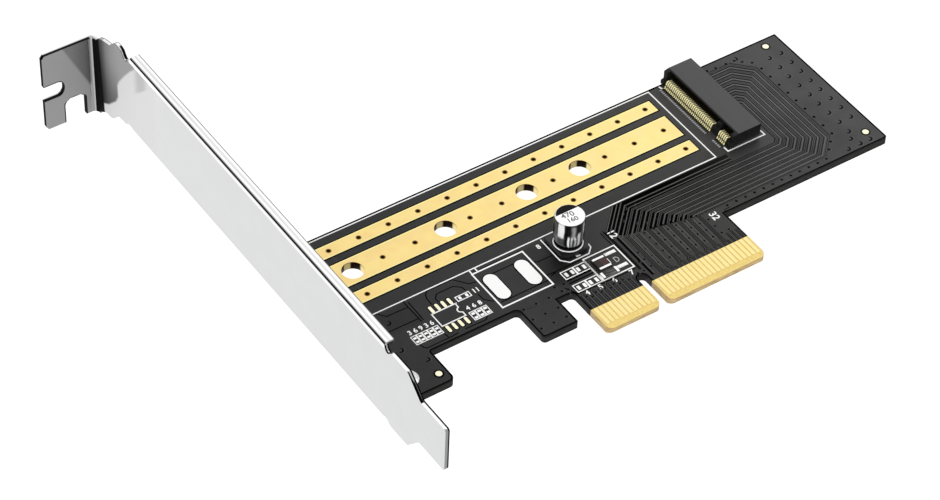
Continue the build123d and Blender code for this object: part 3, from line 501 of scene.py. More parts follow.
def ceramic_material(name):
    """Fired ceramic body: red-brown towards one end, olive-grey glaze towards the other."""
    m = Mat(name)
    x, y, z = m.obj()
    tex = m.noise(8.0, 3.0, 0.6)
    k = m.ramp(m.math("ADD", x, m.math("MULTIPLY", tex, 0.5)), 38.45, 38.95)
    col = m.mixc(k, (0.014, 0.014, 0.011), (0.052, 0.020, 0.018))
    col = m.mixc(m.ramp(tex, 0.35, 0.7, 0.0, 0.5), col, (0.020, 0.016, 0.014))
    m.set(color=col, rough=m.math("MULTIPLY_ADD", tex, 0.15, 0.33), spec=0.25, normal=m.bump(tex, 0.35, 0.02))
    return m.m


def glaze_material(name):
    """Dark glaze of a chip resistor, printed in long strokes."""
    m = Mat(name)
    x, y, z = m.obj()
    s = m.noise(1.0, 2.0, 0.5, m.vec((0.35, 4.2, 1.0)))
    f = m.noise(9.0, 2.0, 0.6)
    col = m.mixc(m.ramp(s, 0.42, 0.60), (0.006, 0.006, 0.0065), (0.11, 0.11, 0.105))
    m.set(color=col, rough=m.math("MULTIPLY_ADD", f, 0.1, 0.40), spec=0.12, normal=m.bump(f, 0.2, 0.01))
    return m.m


M_BOARD = mask_material("board_mask")
M_DARK = mask_material("mask_over_laminate", dark=1.0, zones=False)
# black for the painted shade along the board's edges
M_EDGE_SHADE = ink_material("painted_edge_shade_black", (0.0014, 0.0014, 0.0015), 0.8, 0.0)
# black for the painted shade in open vias and where the mask sags
M_VIA_SHADE = ink_material("via_painted_shade_black", (0.0040, 0.0040, 0.0042), 0.8, 0.0)
M_TRACE = mask_material("mask_over_trace", lift=0.011, zones=False)
M_GROUND = mask_material("mask_over_ground", lift=0.044, zones=False)
M_STRIP = gold_material("gold_strip")
M_CONTACT = gold_material("gold_contact", base=(0.925, 0.745, 0.335), rough=0.34, warm=False)
M_PAD = gold_material("gold_pad", base=(0.98, 0.93, 0.68), rough=0.32, warm=False)
M_SPRING = Mat("gold_spring")
_x, _y, _z = M_SPRING.obj()
_q = M_SPRING.noise(9.0, 2.0, 0.6)
_col = M_SPRING.mixc(M_SPRING.ramp(_q, 0.3, 0.7), (1.0, 0.89, 0.40), (1.0, 0.96, 0.62))
# painted shade: dark on the tails and in a line between the gold and the tails
_shade = M_SPRING.math("MAXIMUM", M_SPRING.ramp(_x, 76.44, 76.34), inside(M_SPRING, _z, 0.56, 0.80, 0.06))
_col = M_SPRING.mixc(_shade, _col, (0.012, 0.010, 0.005))
# painted shade deeper in the socket's mouth
_col = M_SPRING.mixc(M_SPRING.ramp(_x, 77.70, 78.20), _col, (0.030, 0.025, 0.010))
M_SPRING = M_SPRING.set(color=_col, metal=0.35, rough=0.30, normal=M_SPRING.bump(_q, 0.15, 0.01)).m
# the upper contacts: gold painted dark for the shade deep in the socket's mouth
M_SPRING_SHADED = gold_material("gold_spring_painted_shade", base=(0.028, 0.023, 0.008), rough=0.55, warm=False)
# via barrels: gold painted dark for the shade in the holes
M_VIA_SHADED = gold_material("via_barrel_painted_shade", base=(0.105, 0.055, 0.010), rough=0.40, warm=False)
# brown for the painted shade where the plating dips into the vias
M_VIA_DIP_SHADE = ink_material("via_dip_painted_shade", (0.20, 0.125, 0.035), 0.5, 0.1)
M_TIN = tin_material("tin")
M_DULL = tin_material("dull_tin", (0.34, 0.34, 0.34), 0.45)
M_SOLDER = tin_material("solder", (0.95, 0.95, 0.94), 0.38, 0.30)
# solder painted dark for the fillets' slopes: painted shade
M_FILLET_SHADE = ink_material("solder_shade", (0.030, 0.030, 0.031), 0.45, 0.3)
M_END = Mat("end_cap")
_sep = M_END.new("ShaderNodeSeparateXYZ")
M_END.link(M_END.tc.outputs["Normal"], _sep.inputs[0])
_q = M_END.noise(12.0, 3.0, 0.6)
_col = M_END.mixc(M_END.ramp(_q, 0.3, 0.7), (0.90, 0.90, 0.90), (0.96, 0.96, 0.955))
# painted shade: the caps' upright sides dark, their tops pale
_col = M_END.mixc(M_END.ramp(_sep.outputs[2], 0.75, 0.45), _col, (0.050, 0.050, 0.050))
M_END = M_END.set(color=_col, metal=0.30, rough=0.36, normal=M_END.bump(_q, 0.12, 0.01)).m
M_PADGREY = ink_material("solder_grey", (0.31, 0.30, 0.315), 0.5, 0.3)
# black for the painted shadow under the socket's contact tails
M_TAIL_SHADOW = ink_material("painted_tail_shadow", (0.003, 0.003, 0.003), 0.7, 0.0)
M_SOCKET = Mat("socket_plastic")
_x, _y, _z = M_SOCKET.obj()
_sep = M_SOCKET.new("ShaderNodeSeparateXYZ")
M_SOCKET.link(M_SOCKET.tc.outputs["Normal"], _sep.inputs[0])
_tex = M_SOCKET.noise(18.0, 3.0, 0.6)
_flow = M_SOCKET.noise(0.6, 2.0, 0.5, M_SOCKET.vec((1.0, 0.25, 1.0)))
_col = M_SOCKET.mixc(M_SOCKET.ramp(_flow, 0.3, 0.7), (0.0120, 0.0120, 0.0124), (0.0155, 0.0155, 0.0160))
# painted shade: faces turned towards -X and the sunk corner black, the tops lighter than the sides
_front = M_SOCKET.ramp(_sep.outputs[0], -0.35, -0.60)
_corner = M_SOCKET.ramp(_x, 78.46, 78.40)
_painted_socket_shade = M_SOCKET.math("MAXIMUM", _front, _corner)
_top = M_SOCKET.math("MULTIPLY", M_SOCKET.ramp(_sep.outputs[2], 0.7, 0.9), M_SOCKET.math("SUBTRACT", 1.0, _corner))
_col = M_SOCKET.mixc(_top, (0.0035, 0.0035, 0.0036), _col)
_col = M_SOCKET.mixc(_painted_socket_shade, _col, (0.0010, 0.0010, 0.0010))
M_SOCKET = M_SOCKET.set(color=_col, rough=M_SOCKET.math("ADD", M_SOCKET.math("MULTIPLY_ADD", _tex, 0.12, 0.40), M_SOCKET.math("MULTIPLY", _painted_socket_shade, 0.35)), spec=0.85,
                        normal=M_SOCKET.bump(_tex, 0.25, 0.010)).m
M_BASE = plastic_material("base_plastic", (0.008, 0.008, 0.0085), 0.40, spec=0.45)
M_CAN = can_material("can_aluminium")
M_BROWN = ceramic_material("ceramic_brown")
M_CHIP = glaze_material("ceramic_dark")
M_STEEL = steel_material("bracket_steel")
M_SCREW = tin_material("screw_steel", (0.62, 0.62, 0.63), 0.28)
M_INK = ink_material("legend_ink", (0.86, 0.86, 0.85))
M_INKT = ink_material("legend_thin", (0.46, 0.46, 0.46))
M_INKD = ink_material("sleeve_ink", (0.010, 0.009, 0.009), 0.6, 0.05)
M_INKG = ink_material("sleeve_grey", (0.16, 0.16, 0.17), 0.5)

CAD_LOOK = {
    "circuit_board": M_BOARD, "strip_upper": M_STRIP, "strip_middle": M_STRIP, "strip_lower": M_STRIP,
    "retention_hole_lands": M_STRIP, "thermal_vias": M_VIA_SHADED, "edge_contacts_component_side": M_CONTACT,
    "edge_contacts_solder_side": M_CONTACT, "inductor_pads": M_TIN, "chip_socket_pads": M_PAD, "spare_chip_pads": M_SOLDER,
    "small_part_pads": M_SOLDER, "fiducial_marks": M_PAD, "socket_housing": M_SOCKET, "socket_contacts_lower": M_SPRING,
    "socket_contacts_upper": M_SPRING_SHADED, "capacitor_base": M_BASE, "capacitor_can": M_CAN, "capacitor_leads": M_TIN,
    "chip_capacitor_body": M_BROWN, "chip_capacitor_ends": M_END, "chip_resistor_body": M_CHIP, "chip_resistor_ends": M_END,
    "slot_bracket": M_STEEL, "bracket_screws": M_SCREW,
}
for name, o in NODES.items():
    o.data.materials.clear()
    o.data.materials.append(CAD_LOOK[name])


def soften(name, width_mm, seg=2, angle=32.0):
    """Rounds a CAD node's sharp edges a little, as stamping, moulding or routing leaves them."""
    o = NODES[name]
    me = o.data
    if "custom_normal" in me.attributes:
        me.attributes.remove(me.attributes["custom_normal"])
    for p in me.polygons:
        p.use_smooth = True
    w = o.modifiers.new("weld", "WELD")
    w.merge_threshold = 2e-6
    b = o.modifiers.new("edge", "BEVEL")
    b.width = width_mm * 0.001
    b.segments = seg
    b.limit_method = "ANGLE"
    b.angle_limit = math.radians(angle)
    b.use_clamp_overlap = True
    n = o.modifiers.new("shade", "WEIGHTED_NORMAL")
    n.mode = "FACE_AREA"
    n.keep_sharp = False
    n.weight = 50


soften("slot_bracket", 0.09, 3)
soften("circuit_board", 0.05, 2)
soften("socket_housing", 0.04, 2)
soften("capacitor_base", 0.07, 2)
soften("chip_resistor_body", 0.03, 1)
soften("chip_capacitor_body", 0.03, 1)


# ------------------------------------------------------------------ mesh building
class Build:
    def __init__(self):
        self.v, self.f, self.mi, self.sm = [], [], [], []

    def face(self, idx, mat=0, smooth=False):
        self.f.append(idx)
        self.mi.append(mat)
        self.sm.append(smooth)

    def ribbon(self, pts, w, z0, z1, slope=0.03, mat=0, closed=False, caps=True):
        """A flat raised line of width w along pts, with sloping sides."""
        n = len(pts)
        pts = [Vector((p[0], p[1])) for p in pts]
        rows = []
        for i in range(n):
            a = pts[(i - 1) % n] if (closed or i > 0) else None
            b = pts[i]
            c = pts[(i + 1) % n] if (closed or i < n - 1) else None
            d1 = (b - a).normalized() if a is not None else None
            d2 = (c - b).normalized() if c is not None else None
            if d1 is None:
                d1 = d2
            if d2 is None:
                d2 = d1
            n1 = Vector((-d1.y, d1.x))
            n2 = Vector((-d2.y, d2.x))
            m = n1 + n2
            m = m.normalized() if m.length > 1e-6 else n1
            k = 1.0 / max(0.35, m.dot(n1))
            row = []
            for off, z in ((w / 2 + slope, z0), (w / 2, z1), (-w / 2, z1), (-w / 2 - slope, z0)):
                q = b + m * off * k
                row.append(len(self.v))
                self.v.append(P(q.x, q.y, z))
            rows.append(row)
        last = n if closed else n - 1
        for i in range(last):
            r, s = rows[i], rows[(i + 1) % n]
            for j in range(3):
                self.face((r[j], r[j + 1], s[j + 1], s[j]), mat)
        if caps and not closed:
            self.face((rows[0][3], rows[0][2], rows[0][1], rows[0][0]), mat)
            self.face((rows[-1][0], rows[-1][1], rows[-1][2], rows[-1][3]), mat)

    def rect(self, x0, x1, y0, y1, w, z0, z1, mat=0):
        self.ribbon([(x0, y0), (x1, y0), (x1, y1), (x0, y1)], w, z0, z1, mat=mat, closed=True)

    def ring(self, x, y, r, w, z0, z1, n=20, mat=0, a0=0.0, a1=360.0):
        full = abs(a1 - a0) >= 359.9
        pts = []
        for i in range(n if full else n + 1):
            a = math.radians(a0 + (a1 - a0) * i / n)
            pts.append((x + r * math.cos(a), y + r * math.sin(a)))
        self.ribbon(pts, w, z0, z1, mat=mat, closed=full)

    def disc(self, x, y, r, z0, z1, n=16, mat=0, slope=0.03):
        c = len(self.v)
        for i in range(n):
            a = 2 * math.pi * i / n
            self.v.append(P(x + (r + slope) * math.cos(a), y + (r + slope) * math.sin(a), z0))
        for i in range(n):
            a = 2 * math.pi * i / n
            self.v.append(P(x + r * math.cos(a), y + r * math.sin(a), z1))
        for i in range(n):
            j = (i + 1) % n
            self.face((c + i, c + j, c + n + j, c + n + i), mat)
        self.face(tuple(c + n + i for i in range(n)), mat)

    def plate(self, pts, z0, z1, mat=0):
        """A flat polygon (counter-clockwise) with upright sides."""
        c, n = len(self.v), len(pts)
        for z in (z0, z1):
            for p in pts:
                self.v.append(P(p[0], p[1], z))
        for i in range(n):
            j = (i + 1) % n
            self.face((c + i, c + j, c + n + j, c + n + i), mat)
        self.face(tuple(c + n + i for i in range(n)), mat)

    def text(self, s, size, x, y, z, rot=0.0, mat=0, weight=0.0):
        cu = bpy.data.curves.new("t", "FONT")
        cu.body = s
        cu.size = size
        cu.align_x, cu.align_y = "CENTER", "CENTER"
        cu.extrude = 0.004
        cu.offset = weight
        cu.resolution_u = 4
        ob = bpy.data.objects.new("t", cu)
        bpy.context.scene.collection.objects.link(ob)
        bpy.context.view_layer.update()
        me = bpy.data.meshes.new_from_object(ob.evaluated_get(bpy.context.evaluated_depsgraph_get()))
        a = math.radians(rot)
        c = len(self.v)
        for q in me.vertices:
            px, py = q.co.x, q.co.y
            self.v.append(P(x + px * math.cos(a) - py * math.sin(a), y + px * math.sin(a) + py * math.cos(a), z + q.co.z))
        for p in me.polygons:
            self.face(tuple(c + i for i in p.vertices), mat)
        bpy.data.objects.remove(ob)
        bpy.data.curves.remove(cu)
        bpy.data.meshes.remove(me)

    def done(self, name, mats, replaces=()):
        me = bpy.data.meshes.new(name)
        me.from_pydata(self.v, [], self.f)
        for mt in mats:
            me.materials.append(mt)
        me.polygons.foreach_set("material_index", self.mi)
        me.polygons.foreach_set("use_smooth", self.sm)
        me.validate()
        me.update()
        o = bpy.data.objects.new(name, me)
        bpy.context.scene.collection.objects.link(o)
        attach(o, "root")
        if replaces:
            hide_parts(*replaces)
        return o


# ------------------------------------------------------------------ copper under the mask
Z_DARK = 0.004     # mask dips here in fact; drawn as a thin darker field
Z_TR0, Z_TR1 = 0.004, 0.026
TW = 0.12          # trace
PAIR = 0.15        # half pitch of a pair

channels = Build()
traces = Build()


def offset(pts, d):
    out = []
    n = len(pts)
    v = [Vector(p) for p in pts]
    for i in range(n):
        d1 = (v[i] - v[i - 1]).normalized() if i > 0 else None
        d2 = (v[i + 1] - v[i]).normalized() if i < n - 1 else None
        d1 = d1 or d2
        d2 = d2 or d1
        n1, n2 = Vector((-d1.y, d1.x)), Vector((-d2.y, d2.x))
        m = (n1 + n2).normalized()
        q = v[i] + m * d / max(0.35, m.dot(n1))
        out.append((q.x, q.y))
    return out


def single(pts, w=TW, gap=0.20):
    channels.ribbon(pts, w + 2 * gap, 0.0, Z_DARK, slope=0.01)
    traces.ribbon(pts, w, Z_TR0, Z_TR1)


# eight pairs loop from the back of the socket round to the contacts; narrow strips of ground run between them
def loop(yu, cu, xv, cl, yh, cd, xt, yend):
    """Level run from the socket, slope, upright run, slope, level run, slope, then down to the contacts."""
    return [(84.6, yu), (cu - yu, yu), (xv, cu - xv), (xv, xv - cl), (yh + cl, yh), (cd + yh, yh), (xt, xt - cd)] + ([(xt, yend)] if yend else [])


YH = [-21.82, -20.92, -19.90, -18.85, -17.75, -16.58, -15.35, -14.15]
XT = [61.0, 59.0, 57.1, 55.15, 53.2, 51.1, 48.65, 46.80]
YG = [-21.45, -20.40, -19.40, -18.30, -17.20, -15.95, -14.75]
XG = [60.0, 58.05, 56.12, 54.2, 52.15, 49.9, 47.75]
outer = [(84.6, 8.55), (91.45, 8.55), (95.15, 4.85), (95.15, -17.85), (90.9, -22.1), (61.4, -22.1), (61.36, -22.14)]
inner_ = [(84.6, -2.2), (85.3, -2.2), (85.65, -2.55), (85.65, -12.95), (84.85, -13.75), (51.65, -13.75), (46.45, -18.95)]


def field(a_, b_):
    """A dark field between two lines with the same number of corners."""
    base_ = len(channels.v)
    for q in a_ + b_:
        channels.v.append(P(q[0], q[1], Z_DARK))
    n_ = len(a_)
    for i in range(n_ - 1):
        channels.face((base_ + i, base_ + n_ + i, base_ + n_ + i + 1, base_ + i + 1))


field(outer, inner_)
field([(75.3, -13.75), (51.65, -13.75), (46.45, -18.95)], [(75.3, -11.50), (49.0, -11.50), (43.95, -16.55)])
for k in range(8):
    mid = loop(8.1 - 1.4 * k, 99.27 - 2.2 * k, 94.67 - 1.22 * k, (112.5 if k == 0 else 112.87 - 1.93 * k), YH[k], 83.0 - 2.43 * k, XT[k], -29.35)
    channels.ribbon(mid[-2:] + [(XT[k], -29.75)], 0.72, 0.0, Z_DARK, slope=0.01)
    ctr = 61.175 - 2.0 * k
    for sd in (1, -1):
        ln = offset(mid, sd * PAIR)
        ex = ctr + 0.5 if sd < 0 else ctr - 0.5
        ln += [(ex, -29.35 - abs(ex - ln[-1][0])), (ex, -31.10)]
        traces.ribbon(ln, TW, Z_TR0, Z_TR1)
        channels.ribbon(ln[-3:], 0.42, 0.0, Z_DARK, slope=0.01)
for j in range(7):
    traces.ribbon(loop(7.4 - 1.4 * j, 98.17 - 2.2 * j, 94.05 - 1.22 * j, 111.9 - 1.93 * j, YG[j], 81.8 - 2.43 * j, XG[j], None), 0.25, Z_TR0, Z_TR1 + 0.004, mat=1)
# two more lines come in along the drive's outline, and three cut the corner
for y_, c_, x_, y1_ in ((-12.62, 63.75, 45.42, -29.6), (-13.45, 64.95, 45.95, -19.4)):
    traces.ribbon([(75.3, y_), (c_ + y_, y_), (x_, x_ - c_), (x_, y1_)], 0.20 if y_ > -13 else 0.15, Z_TR0, Z_TR1, mat=1)
channels.ribbon([(45.15, -18.6), (45.15, -29.75)], 0.72, 0.0, Z_DARK, slope=0.01)
for c_, xe in ((60.75, 44.3), (61.7, 44.6), (62.65, 45.0)):
    traces.ribbon([(c_ - 11.55, -11.55), (xe, xe - c_)], 0.16, Z_TR0, Z_TR1, mat=1)
channels.ribbon([(44.05, -16.4), (44.05, -27.6)], 0.22, 0.0, Z_DARK, slope=0.01)
# ground between the upright channels shows a paler edge
for k in range(7):
    for e in (XT[k] - 0.62, XT[k + 1] + 0.62):
        traces.ribbon([(e, -22.3 + 0.45 * k), (e, -28.6)], 0.16, Z_TR0, Z_TR1, mat=1)
for n in (18, 19, 20):
    x = 44.675 + n
    single([(x, -31.1), (x, -28.4 + 0.25 * (n % 2))], gap=0.16)
# short section
for n in range(11):
    x = 31.125 + n
    top = -27.25 if n < 9 else -28.3
    single([(x, -31.1), (x, top)], w=0.34, gap=0.16)
    if n in (2, 5, 7):
        single([(x, top), (x + 0.55, top + 0.55)], w=0.2, gap=0.12)


# gaps between copper areas near the bracket and round the parts that are not fitted
def gap(pts, w=0.20):
    channels.ribbon(pts, w, 0.0, Z_DARK, slope=0.01)


def arc(cx, cy, r, a0, a1, n=8):
    return [(cx + r * math.cos(math.radians(a0 + (a1 - a0) * i / n)), cy + r * math.sin(math.radians(a0 + (a1 - a0) * i / n))) for i in range(n + 1)]


gap([(-11.0, -11.4), (-2.3, -11.4), (-1.2, -12.85), (3.25, -12.95)])
gap([(-11.0, -16.2), (3.3, -16.3)])
gap([(3.30, -11.35), (3.38, -17.2)])
gap([(4.00, -11.9), (3.90, -17.0)])
gap([(7.20, -14.7), (7.25, -13.0), (7.7, -11.9), (8.3, -11.42), (13.7, -11.42), (15.7, -13.95), (17.3, -14.25)])
gap([(8.55, -14.7), (8.6, -13.8), (9.35, -12.95), (12.95, -12.92), (14.1, -14.0), (14.3, -14.9)])
gap([(0.05, -21.8), (0.2, -22.7), (0.65, -23.12), (5.9, -23.12), (7.4, -22.95)])
gap([(5.10, -21.8), (5.3, -22.9)])
gap([(8.9, -22.85), (13.2, -22.95), (14.0, -22.35)])
gap([(15.6, -16.9), (15.7, -18.6), (17.0, -19.95), (17.35, -19.98)])
gap([(18.0, -11.9), (18.6, -12.0), (28.3, -12.0)])
gap([(20.5, -14.05), (25.2, -14.05)])
gap([(17.9, -20.85), (28.3, -20.85)])
gap([(28.7, -15.55), (29.3, -16.0), (32.7, -16.05)])
gap([(28.7, -19.6), (30.4, -19.75), (36.4, -19.72)])
gap([(29.2, -20.2), (30.6, -19.9)])
gap([(30.9, -22.75), (36.3, -22.75)], 0.5)
gap([(30.9, -23.6), (36.3, -23.6)], 0.3)
gap([(29.6, -24.1), (30.8, -26.4), (36.0, -26.75), (43.3, -26.75)], 0.24)
gap([(43.75, -15.9), (43.75, -27.4)], 0.24)
gap([(43.15, -16.1), (43.15, -19.7)], 0.20)
gap([(65.6, -23.9), (66.2, -23.25), (67.4, -23.25)], 0.14)
# mask edge round the strips, pads and marks: a dark line, partly the mask's own edge and partly painted shade
for y0, y1 in ((4.98, 8.04), (-3.05, 3.05), (-7.84, -4.78)):
    channels.rect(-3.45, 71.95, y0 - 0.15, y1 + 0.15, 0.20, 0.0, Z_DARK)
for px in (19.55, 26.35):
    channels.ribbon([(px - 1.50, -17.20 + 2.0), *arc(px, -17.2 + 2.0, 1.50, 180, 0, 10)[1:], *arc(px, -17.2 - 2.0, 1.50, 0, -180, 10)], 0.20, 0.0, Z_DARK, slope=0.01, closed=True)
for px, py in ((100.28, 8.62), (101.37, -20.74), (-1.07, -29.35)):
    channels.ring(px, py, 0.84, 0.22, 0.0, Z_DARK, n=28)
for n in range(4):
    for py in (-15.78, -21.28):
        px = 6.42 + 1.31 * n
        channels.ribbon([(px - 0.42, py - 0.62), (px - 0.42, py + 0.62), *arc(px, py + 0.62, 0.42, 180, 0, 6)[1:-1], (px + 0.42, py + 0.62), (px + 0.42, py - 0.62), *arc(px, py - 0.62, 0.42, 0, -180, 6)[1:-1]],
                        0.16, 0.0, Z_DARK, slope=0.01, closed=True)

# painted shade: a black line along the board's outline, where its top edge shows dark
OUTLINE = [
    (-11.20, 10.66, 0.0), (104.04, 10.66, 0.2), (104.04, -24.00, 0.6), (65.50, -24.00, 0.0), (65.50, -36.60, 1.15), (43.85, -36.60, 1.15),
    (43.85, -28.50, 0.93), (41.95, -28.50, 0.93), (41.95, -36.60, 1.15), (30.30, -36.60, 1.15), (30.30, -25.65, 0.9), (26.85, -25.65, 0.0),
    (26.85, -32.10, 0.3), (19.40, -32.10, 0.8), (19.40, -24.00, 0.9), (0.75, -24.00, 0.4), (0.75, -31.90, 1.1), (-11.20, -31.90, 0.0),
]


def rounded(points):
    out = []
    n = len(points)
    for i, (px, py, r) in enumerate(points):
        b = Vector((px, py))
        if r <= 0:
            out.append((px, py))
            continue
        u = (Vector(points[i - 1][:2]) - b).normalized()
        v = (Vector(points[(i + 1) % n][:2]) - b).normalized()
        c = b + (u + v) * r
        a0 = b + u * r - c
        a1 = b + v * r - c
        for k in range(7):
            q = a0.lerp(a1, k / 6.0)
            q = q.normalized() * r
            out.append((c.x + q.x, c.y + q.y))
    return out


pts = rounded(OUTLINE)
painted_edge_shade = Build()
inner = []
for i in range(len(pts)):
    a, b, c = Vector(pts[i - 1]), Vector(pts[i]), Vector(pts[(i + 1) % len(pts)])
    d1 = (b - a).normalized() if (b - a).length > 1e-5 else (c - b).normalized()
    d2 = (c - b).normalized() if (c - b).length > 1e-5 else d1
    n1, n2 = Vector((d1.y, -d1.x)), Vector((d2.y, -d2.x))
    m_ = (n1 + n2).normalized()
    q = b + m_ * 0.20 / max(0.45, m_.dot(n1))
    inner.append((q.x, q.y))
# the tongue below the contacts has no mask, so the painted edge line leaves it out
run, runs = [], []
for q in inner + inner[:1]:
    keep = not (q[1] < -31.0 and 30.0 < q[0] < 65.8)
    if keep:
        run.append(q)
    else:
        if run and run[-1][1] > -31.0:
            run.append((run[-1][0], -31.0))
        if len(run) > 1:
            runs.append(run)
        run = []
if len(run) > 1:
    runs.append(run)
for r_ in runs:
    if r_[0][1] > -31.0 and 30.2 < r_[0][0] < 65.6 and r_[0][1] < -24.3:
        r_.insert(0, (r_[0][0], -31.0))
    painted_edge_shade.ribbon(r_, 0.30, 0.0, 0.005, slope=0.01)
# the painted edge line runs out to the edge along the back
painted_edge_shade.ribbon([(-10.9, 10.455), (75.8, 10.455)], 0.40, 0.0, 0.006, slope=0.004)

# ------------------------------------------------------------------ vias under the mask
via_shade_marks = Build()      # painted shade: dark pits for small open vias
painted_via_highlights = Build()     # covered vias: a low ring, lit on one side as a painted highlight


def dot(x, y, r=0.20):
    via_shade_marks.disc(x, y, r * 1.08, 0.0, 0.0055, n=12, slope=0.01, mat=0)
    painted_via_highlights.ring(x + 0.08, y - 0.12, r + 0.12, 0.08, 0.002, 0.018, n=16, mat=0, a0=-110, a1=40)


def tent(x, y, r=0.47):
    # the mask sags into the barrel: a painted shade crescent on one side and a painted highlight lip inside it
    for w_, a0, a1 in ((0.13, -150, 60), (0.22, -128, 38), (0.30, -100, 12)):
        via_shade_marks.ring(x, y, r - (w_ - 0.13) * 0.3, w_, 0.0, 0.0040 + 0.002 * w_, n=20, a0=a0, a1=a1)
    painted_via_highlights.ring(x - 0.02, y + 0.02, r - 0.27, 0.16, 0.0, 0.020, n=18, a0=-120, a1=40)
    painted_via_highlights.ring(x + 0.10, y - 0.10, r + 0.20, 0.10, 0.0, 0.018, n=18, a0=-110, a1=20)


for i, y in enumerate([5.65, 2.5, -0.5, -3.6, -6.7, -9.65, -12.7, -15.8, -18.8]):
    tent(98.75 + 0.1 * math.sin(i * 2.1), y)
for i, y in enumerate([5.65, 2.5, -0.5, -3.6, -6.6, -9.65, -12.7, -15.8]):
    tent(101.55 + 0.1 * math.sin(i * 1.3), y)
for x, y in [(97.7, -20.6), (95.6, -22.6), (98.4, -22.6), (100.8, -22.6), (-3.63, -21.09), (-0.91, -25.39), (-1.88, -14.42), (93.0, 8.9)]:
    tent(x, y)
for y in [4.0, 1.25, -1.5, -4.2, -6.75, -9.5, -12.2, -15.0, -17.65]:
    dot(95.72, y, 0.27)
for x, y in [(92.6, 8.6), (93.7, 7.5), (95.2, 6.3), (94.1, -19.3), (92.5, -20.85), (86.4, 9.0), (88.3, 8.8), (90.7, 8.7)]:
    dot(x, y, 0.24)
x = 90.5
while x > 66.0:
    dot(x, -22.62, 0.24)
    x -= 2.12
for x in (19.8, 22.5, 25.26):
    for y in (-24.5, -27.4, -30.0):
        dot(x + 0.5, y, 0.22)
for x, y in [(28.1, -22.9), (30.0, -23.1), (28.7, -24.4), (29.9, -24.6), (29.3, -25.5)]:
    dot(x, y, 0.22)
for y in (-21.8, -23.75, -25.75, -27.8):
    for x in (46.0, 47.55, 50.15, 52.12, 54.18, 56.05, 58.02, 60.0, 62.0, 63.6):
        if not (y > -22 and x < 50) and not (x > 62.5 and y > -27):
            dot(x, y, 0.19)
for x, y in [(49.4, -14.0), (46.85, -16.4), (50.7, -13.15), (52.75, -13.2), (54.6, -15.25), (55.6, -16.4), (50.1, -17.3),
             (51.65, -18.2), (53.9, -18.6), (55.75, -19.75), (58.1, -19.95), (47.5, -20.3), (50.0, -20.3), (52.1, -20.35),
             (48.4, -15.6), (49.7, -19.1), (44.75, -25.8), (44.2, -28.1), (42.9, -28.0)]:
    dot(x, y, 0.19)
for n in range(0, 10):
    dot(31.6 + n * 1.0 + 0.03, -27.9 - 0.5 * (n % 2), 0.15)

# ------------------------------------------------------------------ white print
print_ = Build()
LW, LZ0, LZ1 = 0.27, 0.004, 0.022


def line(pts, w=LW):
    print_.ribbon(pts, w, LZ0, LZ1, slope=0.012)


def frame_box(x0, x1, y0, y1, w=0.20):
    print_.ribbon([(x0, y0), (x1, y0), (x1, y1), (x0, y1)], w, LZ0, LZ1, slope=0.012, closed=True)


def digits(s, size, x, y, rot=0.0):
    print_.text(s, size, x, y, LZ1 - 0.004, rot, weight=0.035)


frame_box(-9.4, 73.24, -11.14, 10.13, 0.23)
frame_box(17.45, 28.45, -22.1, -12.3, 0.28)
line([(17.55, -12.2), (17.55, -11.2)], 0.24)
line([(18.75, -12.2), (18.75, -11.2)], 0.24)
# eight-leg chip outline with its end notch
line([(5.80, -16.72), (5.80, -20.15), (10.85, -20.15), (10.85, -19.15), *arc(10.85, -18.45, 0.62, 270, 90, 8)[1:-1], (10.85, -17.75), (10.85, -16.72)], 0.22)
line([(5.70, -16.72), (11.15, -16.72)], 0.24)
for n in range(5):
    cx = 0.05 + 1.16 * n
    frame_box(cx - 0.49, cx + 0.49, -21.55, -19.45, 0.15)
    digits(str((n * 3 + 2) % 9 + 1), 1.45, cx, -18.50)
for n in range(3):
    cx = 12.15 + 1.28 * n
    frame_box(cx - 0.54, cx + 0.54, -22.05, -19.95, 0.15)
    digits(str((n * 2 + 3) % 9 + 1), 1.40, cx, -18.9)
frame_box(11.65, 14.50, -16.60, -15.45, 0.17)
digits("11", 1.5, 15.85, -15.95)
# capacitor outline
line([(32.95, -11.6), (32.88, -17.85), (34.15, -19.22), (38.35, -19.22), (39.62, -18.0), (39.70, -16.9)], 0.22)
digits("8", 1.5, 31.6, -12.95)
# fitted chips and their neighbours
frame_box(36.50, 43.38, -26.25, -19.92, 0.24)
line([(40.25, -24.3), (40.25, -26.2)], 0.20)
line([(40.35, -22.0), (40.35, -23.3)], 0.16)
print_.ribbon([(41.35, -22.5), *arc(41.55, -23.05, 0.60, 80, -80, 8), (41.35, -23.6)], 0.13, LZ0, LZ1, slope=0.012, mat=1, closed=True)
for y0, y1 in ((-22.45, -20.5), (-26.2, -24.35)):
    frame_box(31.05, 33.62, y0, y1, 0.17)
    frame_box(33.80, 36.36, y0, y1, 0.17)
line([(36.40, -20.3), (36.40, -24.3)], 0.18)
for i, x in enumerate((32.35, 35.2, 38.3, 42.1)):
    digits(str(i + 4), 1.65, x, -27.25)
# socket corner marks
line([(76.15, -9.85), (76.15, -11.10), (84.80, -11.10), (84.80, -9.80)], 0.26)
line([(75.85, 10.30), (76.05, 9.45), (76.50, 9.35)], 0.28)
line([(84.80, 10.2), (84.80, 9.4)], 0.24)
digits("12", 2.10, 44.80, -17.4, -90)
digits("32", 2.10, 63.45, -23.6, -90)

O_CH = channels.done("mask_gaps", [M_DARK])
O_TR = traces.done("mask_traces", [M_TRACE, M_GROUND])
O_DT = via_shade_marks.done("via_painted_shade", [M_VIA_SHADE])
O_TN = painted_via_highlights.done("via_painted_highlights", [M_TRACE])
